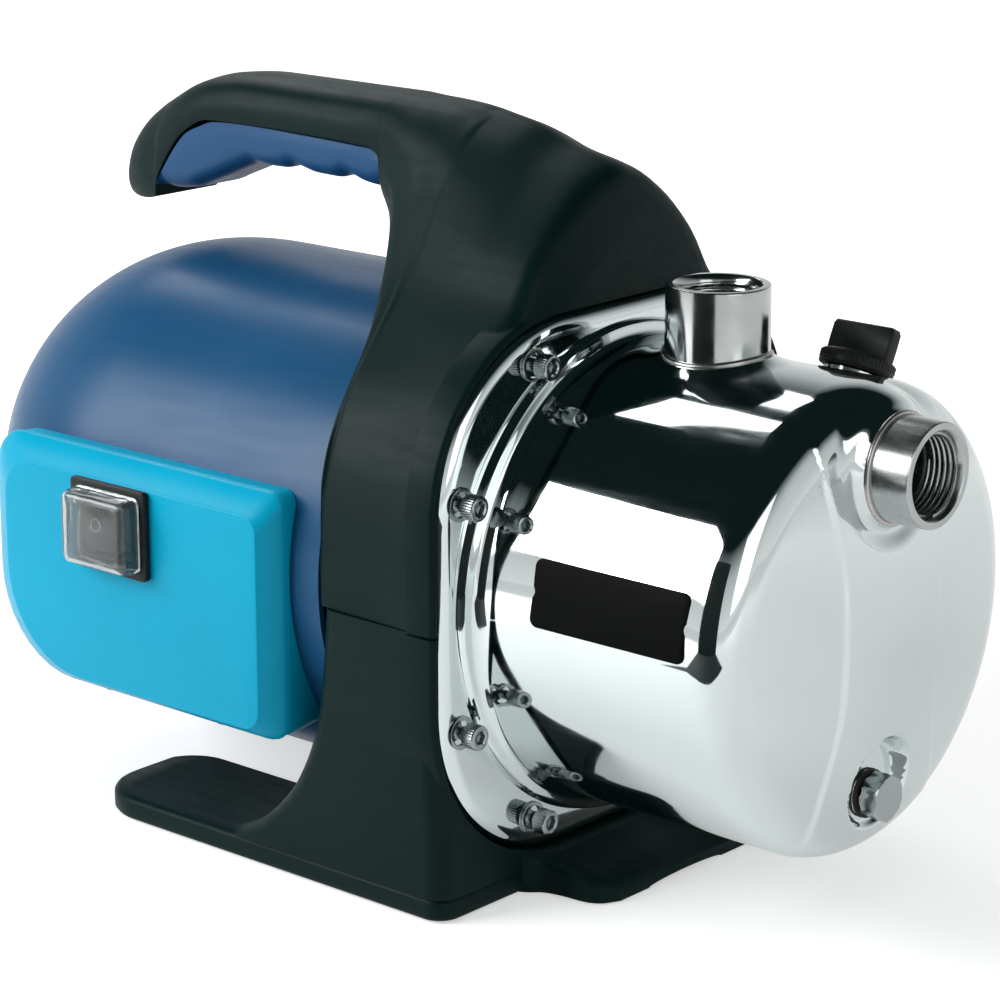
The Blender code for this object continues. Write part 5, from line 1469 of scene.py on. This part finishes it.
CARRIED = {
    "priming_plug_seal": "seal_rubber", "drain_plug_seal": "seal_rubber", "casing_seal": "seal_rubber",
    "seal_seat": "seal_rubber", "seal_ring": "carbon", "impeller": "impeller_plastic",
    "diffuser": "impeller_plastic",
    "impeller_nut": "shaft_steel", "motor_shaft": "shaft_steel", "front_bearing": "bearing_steel",
    "rear_bearing": "bearing_steel", "motor_bracket": "cast_aluminium", "motor_frame": "cast_aluminium",
    "rear_end_shield": "cast_aluminium", "rotor": "core_steel", "stator_core": "core_steel",
    "winding_front": "copper",
    "winding_rear": "copper", "cooling_fan": "fan_plastic", "capacitor": "capacitor_case",
    "terminal_block": "terminal_plastic", "switch_body": "black_plastic", "suction_elbow": "black_plastic",
    "venturi_tube": "black_plastic", "jet_nozzle": "brass",
}


class PUMP_OT_inside(Operator):
    """Finishes for the working parts inside the casing and the motor"""
    bl_idname = "pump.inside"
    bl_label = "Inner Parts"

    def execute(self, context):
        for node, paint in CARRIED.items():
            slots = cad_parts[node].data.materials
            if len(slots) == 0:
                slots.append(finish(paint))
            for number in range(len(slots)):
                slots[number] = finish(paint)
        return {"FINISHED"}


# ---------------------------------------------------------------- stage

def area_light(name, place_at, look_at, size, power):
    """Soft rectangular light, turned to what it lights."""
    data = bpy.data.lights.new(name, "AREA")
    data.shape = "RECTANGLE"
    data.size, data.size_y = size
    data.energy = power
    lamp = bpy.data.objects.new(name, data)
    bpy.context.scene.collection.objects.link(lamp)
    lamp.location = place_at
    lamp.rotation_euler = (Vector(look_at) - Vector(place_at)).to_track_quat("-Z", "Y").to_euler()
    return lamp


# Dark reflector cards, hidden from the camera and from diffuse light; corners in millimetres.
DARK_CARDS = (
    ("front_card", ((-260, -950, 0.5), (620, -950, 0.5), (620, -950, 700), (-260, -950, 700))),
    ("low_card", ((-150, -400, 0.5), (520, -400, 0.5), (620, -949, 0.5), (-260, -949, 0.5))),
)

# Name, place, aim, size and watts; lengths in metres.
SOFTBOXES = (
    ("key_softbox", (-0.95, -1.2, 0.86), (0, 0, 0.12), (1.2, 0.8), 25.0),
    ("side_softbox", (1.7, -0.5, 0.7), (0.1, 0, 0.15), (1.0, 1.0), 4.0),
    ("top_softbox", (0.0, -0.1, 1.7), (0, 0, 0.1), (2.2, 2.2), 12.0),
    ("strip_softbox", (-0.86, 0.26, 1.25), (0.03, 0, 0.2), (0.36, 0.30), 1.6),
    ("rear_softbox", (-1.15, 0.66, 1.25), (0, 0, 0.15), (0.9, 0.5), 5.0),
)
UNMIRRORED = "top_softbox"
FLOOR_REACH, FLOOR_DROP = 60000.0, -0.6
AIR_STOPS = ((0.0, (0.9, 0.9, 0.9, 1)), (0.34, (0.55, 0.57, 0.57, 1)), (0.60, (0.006, 0.013, 0.013, 1)))
AIR_DIFFUSE_LOSS = 0.6
EYE_PLACE, EYE_LENS, EYE_SENSOR = (0.80922, -1.00254, 0.50648), 122.4, 36.0
EYE_DOWN, EYE_TURN = 15.584, 41.055


def light_air(scene):
    """World that is pale low down and dark overhead, white where the camera sees it."""
    world = bpy.data.worlds.new("studio_air")
    scene.world = world
    world.use_nodes = True
    tree = world.node_tree
    air = tree.nodes["Background"]
    height = add(tree, "ShaderNodeTexCoord").outputs["Generated"]
    split = add(tree, "ShaderNodeSeparateXYZ", (), Vector=height)
    ramp = add(tree, "ShaderNodeValToRGB", (), Fac=split.outputs[2])
    stops = ramp.color_ramp.elements
    low, middle, high = AIR_STOPS
    stops[0].position, stops[0].color = low
    stops[1].position, stops[1].color = high
    stops.new(middle[0]).color = middle[1]
    seen = add(tree, "ShaderNodeLightPath").outputs["Is Camera Ray"]
    backdrop = add(tree, "ShaderNodeMix", (("data_type", "RGBA"),), i0=seen, i6=ramp.outputs[0],
                   i7=(1.0, 1.0, 1.0, 1.0))
    tree.links.new(backdrop.outputs[2], air.inputs["Color"])
    spread = add(tree, "ShaderNodeLightPath").outputs["Is Diffuse Ray"]
    loss = math_value(tree, "MULTIPLY", spread, AIR_DIFFUSE_LOSS)
    tree.links.new(math_value(tree, "SUBTRACT", 1.0, loss), air.inputs["Strength"])


class PUMP_OT_stage(Operator):
    """Pale floor, soft lights and the camera"""
    bl_idname = "pump.stage"
    bl_label = "Stage"

    def execute(self, context):
        scene = context.scene
        scene.view_settings.view_transform = "Standard"
        ground = [Vector((u * FLOOR_REACH, v * FLOOR_REACH, FLOOR_DROP)) for u,
                  v in ((-1, -1), (1, -1), (1, 1), (-1, 1))]
        new_object("studio_ground", (ground, [(0, 1, 2, 3)]), finish("studio_floor"))
        for name, corners in DARK_CARDS:
            card = new_object(name, ([Vector(p) for p in corners], [(0, 1, 2, 3)]), finish("dark_card"))
            card.visible_camera = card.visible_diffuse = card.visible_shadow = False
        light_air(scene)
        for name, place, aim, size, watts in SOFTBOXES:
            area_light(name, place, aim, size, watts).visible_glossy = name != UNMIRRORED
        eye = bpy.data.cameras.new("view_camera")
        eye.lens, eye.sensor_width, eye.clip_start = EYE_LENS, EYE_SENSOR, 0.01
        camera = bpy.data.objects.new("view_camera", eye)
        scene.collection.objects.link(camera)
        camera.location = EYE_PLACE
        camera.rotation_euler = Euler((math.radians(90 - EYE_DOWN), 0.0, math.radians(EYE_TURN)))
        scene.camera = camera
        return {"FINISHED"}


# ---------------------------------------------------------------- settings, panel and run

def length_setting(name, description, default):
    """A length in millimetres."""
    return FloatProperty(name=name, description=description, default=default, min=0.0, precision=2)


def colour_setting(name, description, default):
    """A colour that a user may change."""
    return FloatVectorProperty(name=name, description=description, default=default, subtype="COLOR", size=3,
                               min=0.0,
                               max=1.0)


class PumpSizes(PropertyGroup):
    """Sizes that a user may change"""
    weld: length_setting("Weld Bead", "Radius of the weld beads round the ports, in millimetres", 1.1)
    thread_pitch: length_setting("Thread Pitch", "Pitch of the female pipe threads, in millimetres", 2.309)
    thread_turns: IntProperty(name="Thread Turns", description="Turns of thread seen in each port", default=7,
                              min=1, max=12)
    cover_taper: FloatProperty(name="Cover Taper Start",
                               description="Where the motor cover starts to round off, in millimetres",
                               default=-200.0)


class PumpColours(PropertyGroup):
    """Colours that a user may change"""
    steel: colour_setting("Steel", "Polished stainless sheet", (0.68, 0.74, 0.738))
    stand: colour_setting("Stand", "Plastic of the stand and handle", (0.0004, 0.0125, 0.0115))
    cover: colour_setting("Motor Cover", "Glossy plastic of the motor cover", (0.009, 0.075, 0.18))
    box: colour_setting("Switch Box", "Plastic of the switch box", (0.0, 0.36, 0.57))
    grip: colour_setting("Grip", "Insert under the handle", (0.006, 0.066, 0.18))


OPERATORS = (PUMP_OT_stage, PUMP_OT_casing, PUMP_OT_ports, PUMP_OT_plugs, PUMP_OT_screws, PUMP_OT_label,
             PUMP_OT_motor_cover,
             PUMP_OT_switch_box, PUMP_OT_hood, PUMP_OT_base, PUMP_OT_inside)


class PUMP_PT_panel(Panel):
    """Sidebar panel with the pump's settings and steps"""
    bl_idname = "PUMP_PT_panel"
    bl_label = "Jet Pump"
    bl_space_type = "VIEW_3D"
    bl_region_type = "UI"
    bl_category = "Jet Pump"

    def draw(self, context):
        for group in (context.scene.pump_sizes, context.scene.pump_colours):
            for name in group.__annotations__:
                self.layout.prop(group, name)
        for step in OPERATORS:
            self.layout.operator(step.bl_idname)


CLASSES = (PumpSizes, PumpColours, *OPERATORS, PUMP_PT_panel)


def register():
    """Adds the classes and the two groups of settings."""
    for item in CLASSES:
        bpy.utils.register_class(item)
    bpy.types.Scene.pump_sizes = PointerProperty(type=PumpSizes)
    bpy.types.Scene.pump_colours = PointerProperty(type=PumpColours)


def unregister():
    """Takes them out again."""
    del bpy.types.Scene.pump_sizes
    del bpy.types.Scene.pump_colours
    for item in reversed(CLASSES):
        bpy.utils.unregister_class(item)


def main():
    """Builds the stage and every piece."""
    register()
    for step in OPERATORS:
        getattr(bpy.ops.pump, step.bl_idname.split(".")[1])()


if __name__ == "__main__":
    main()
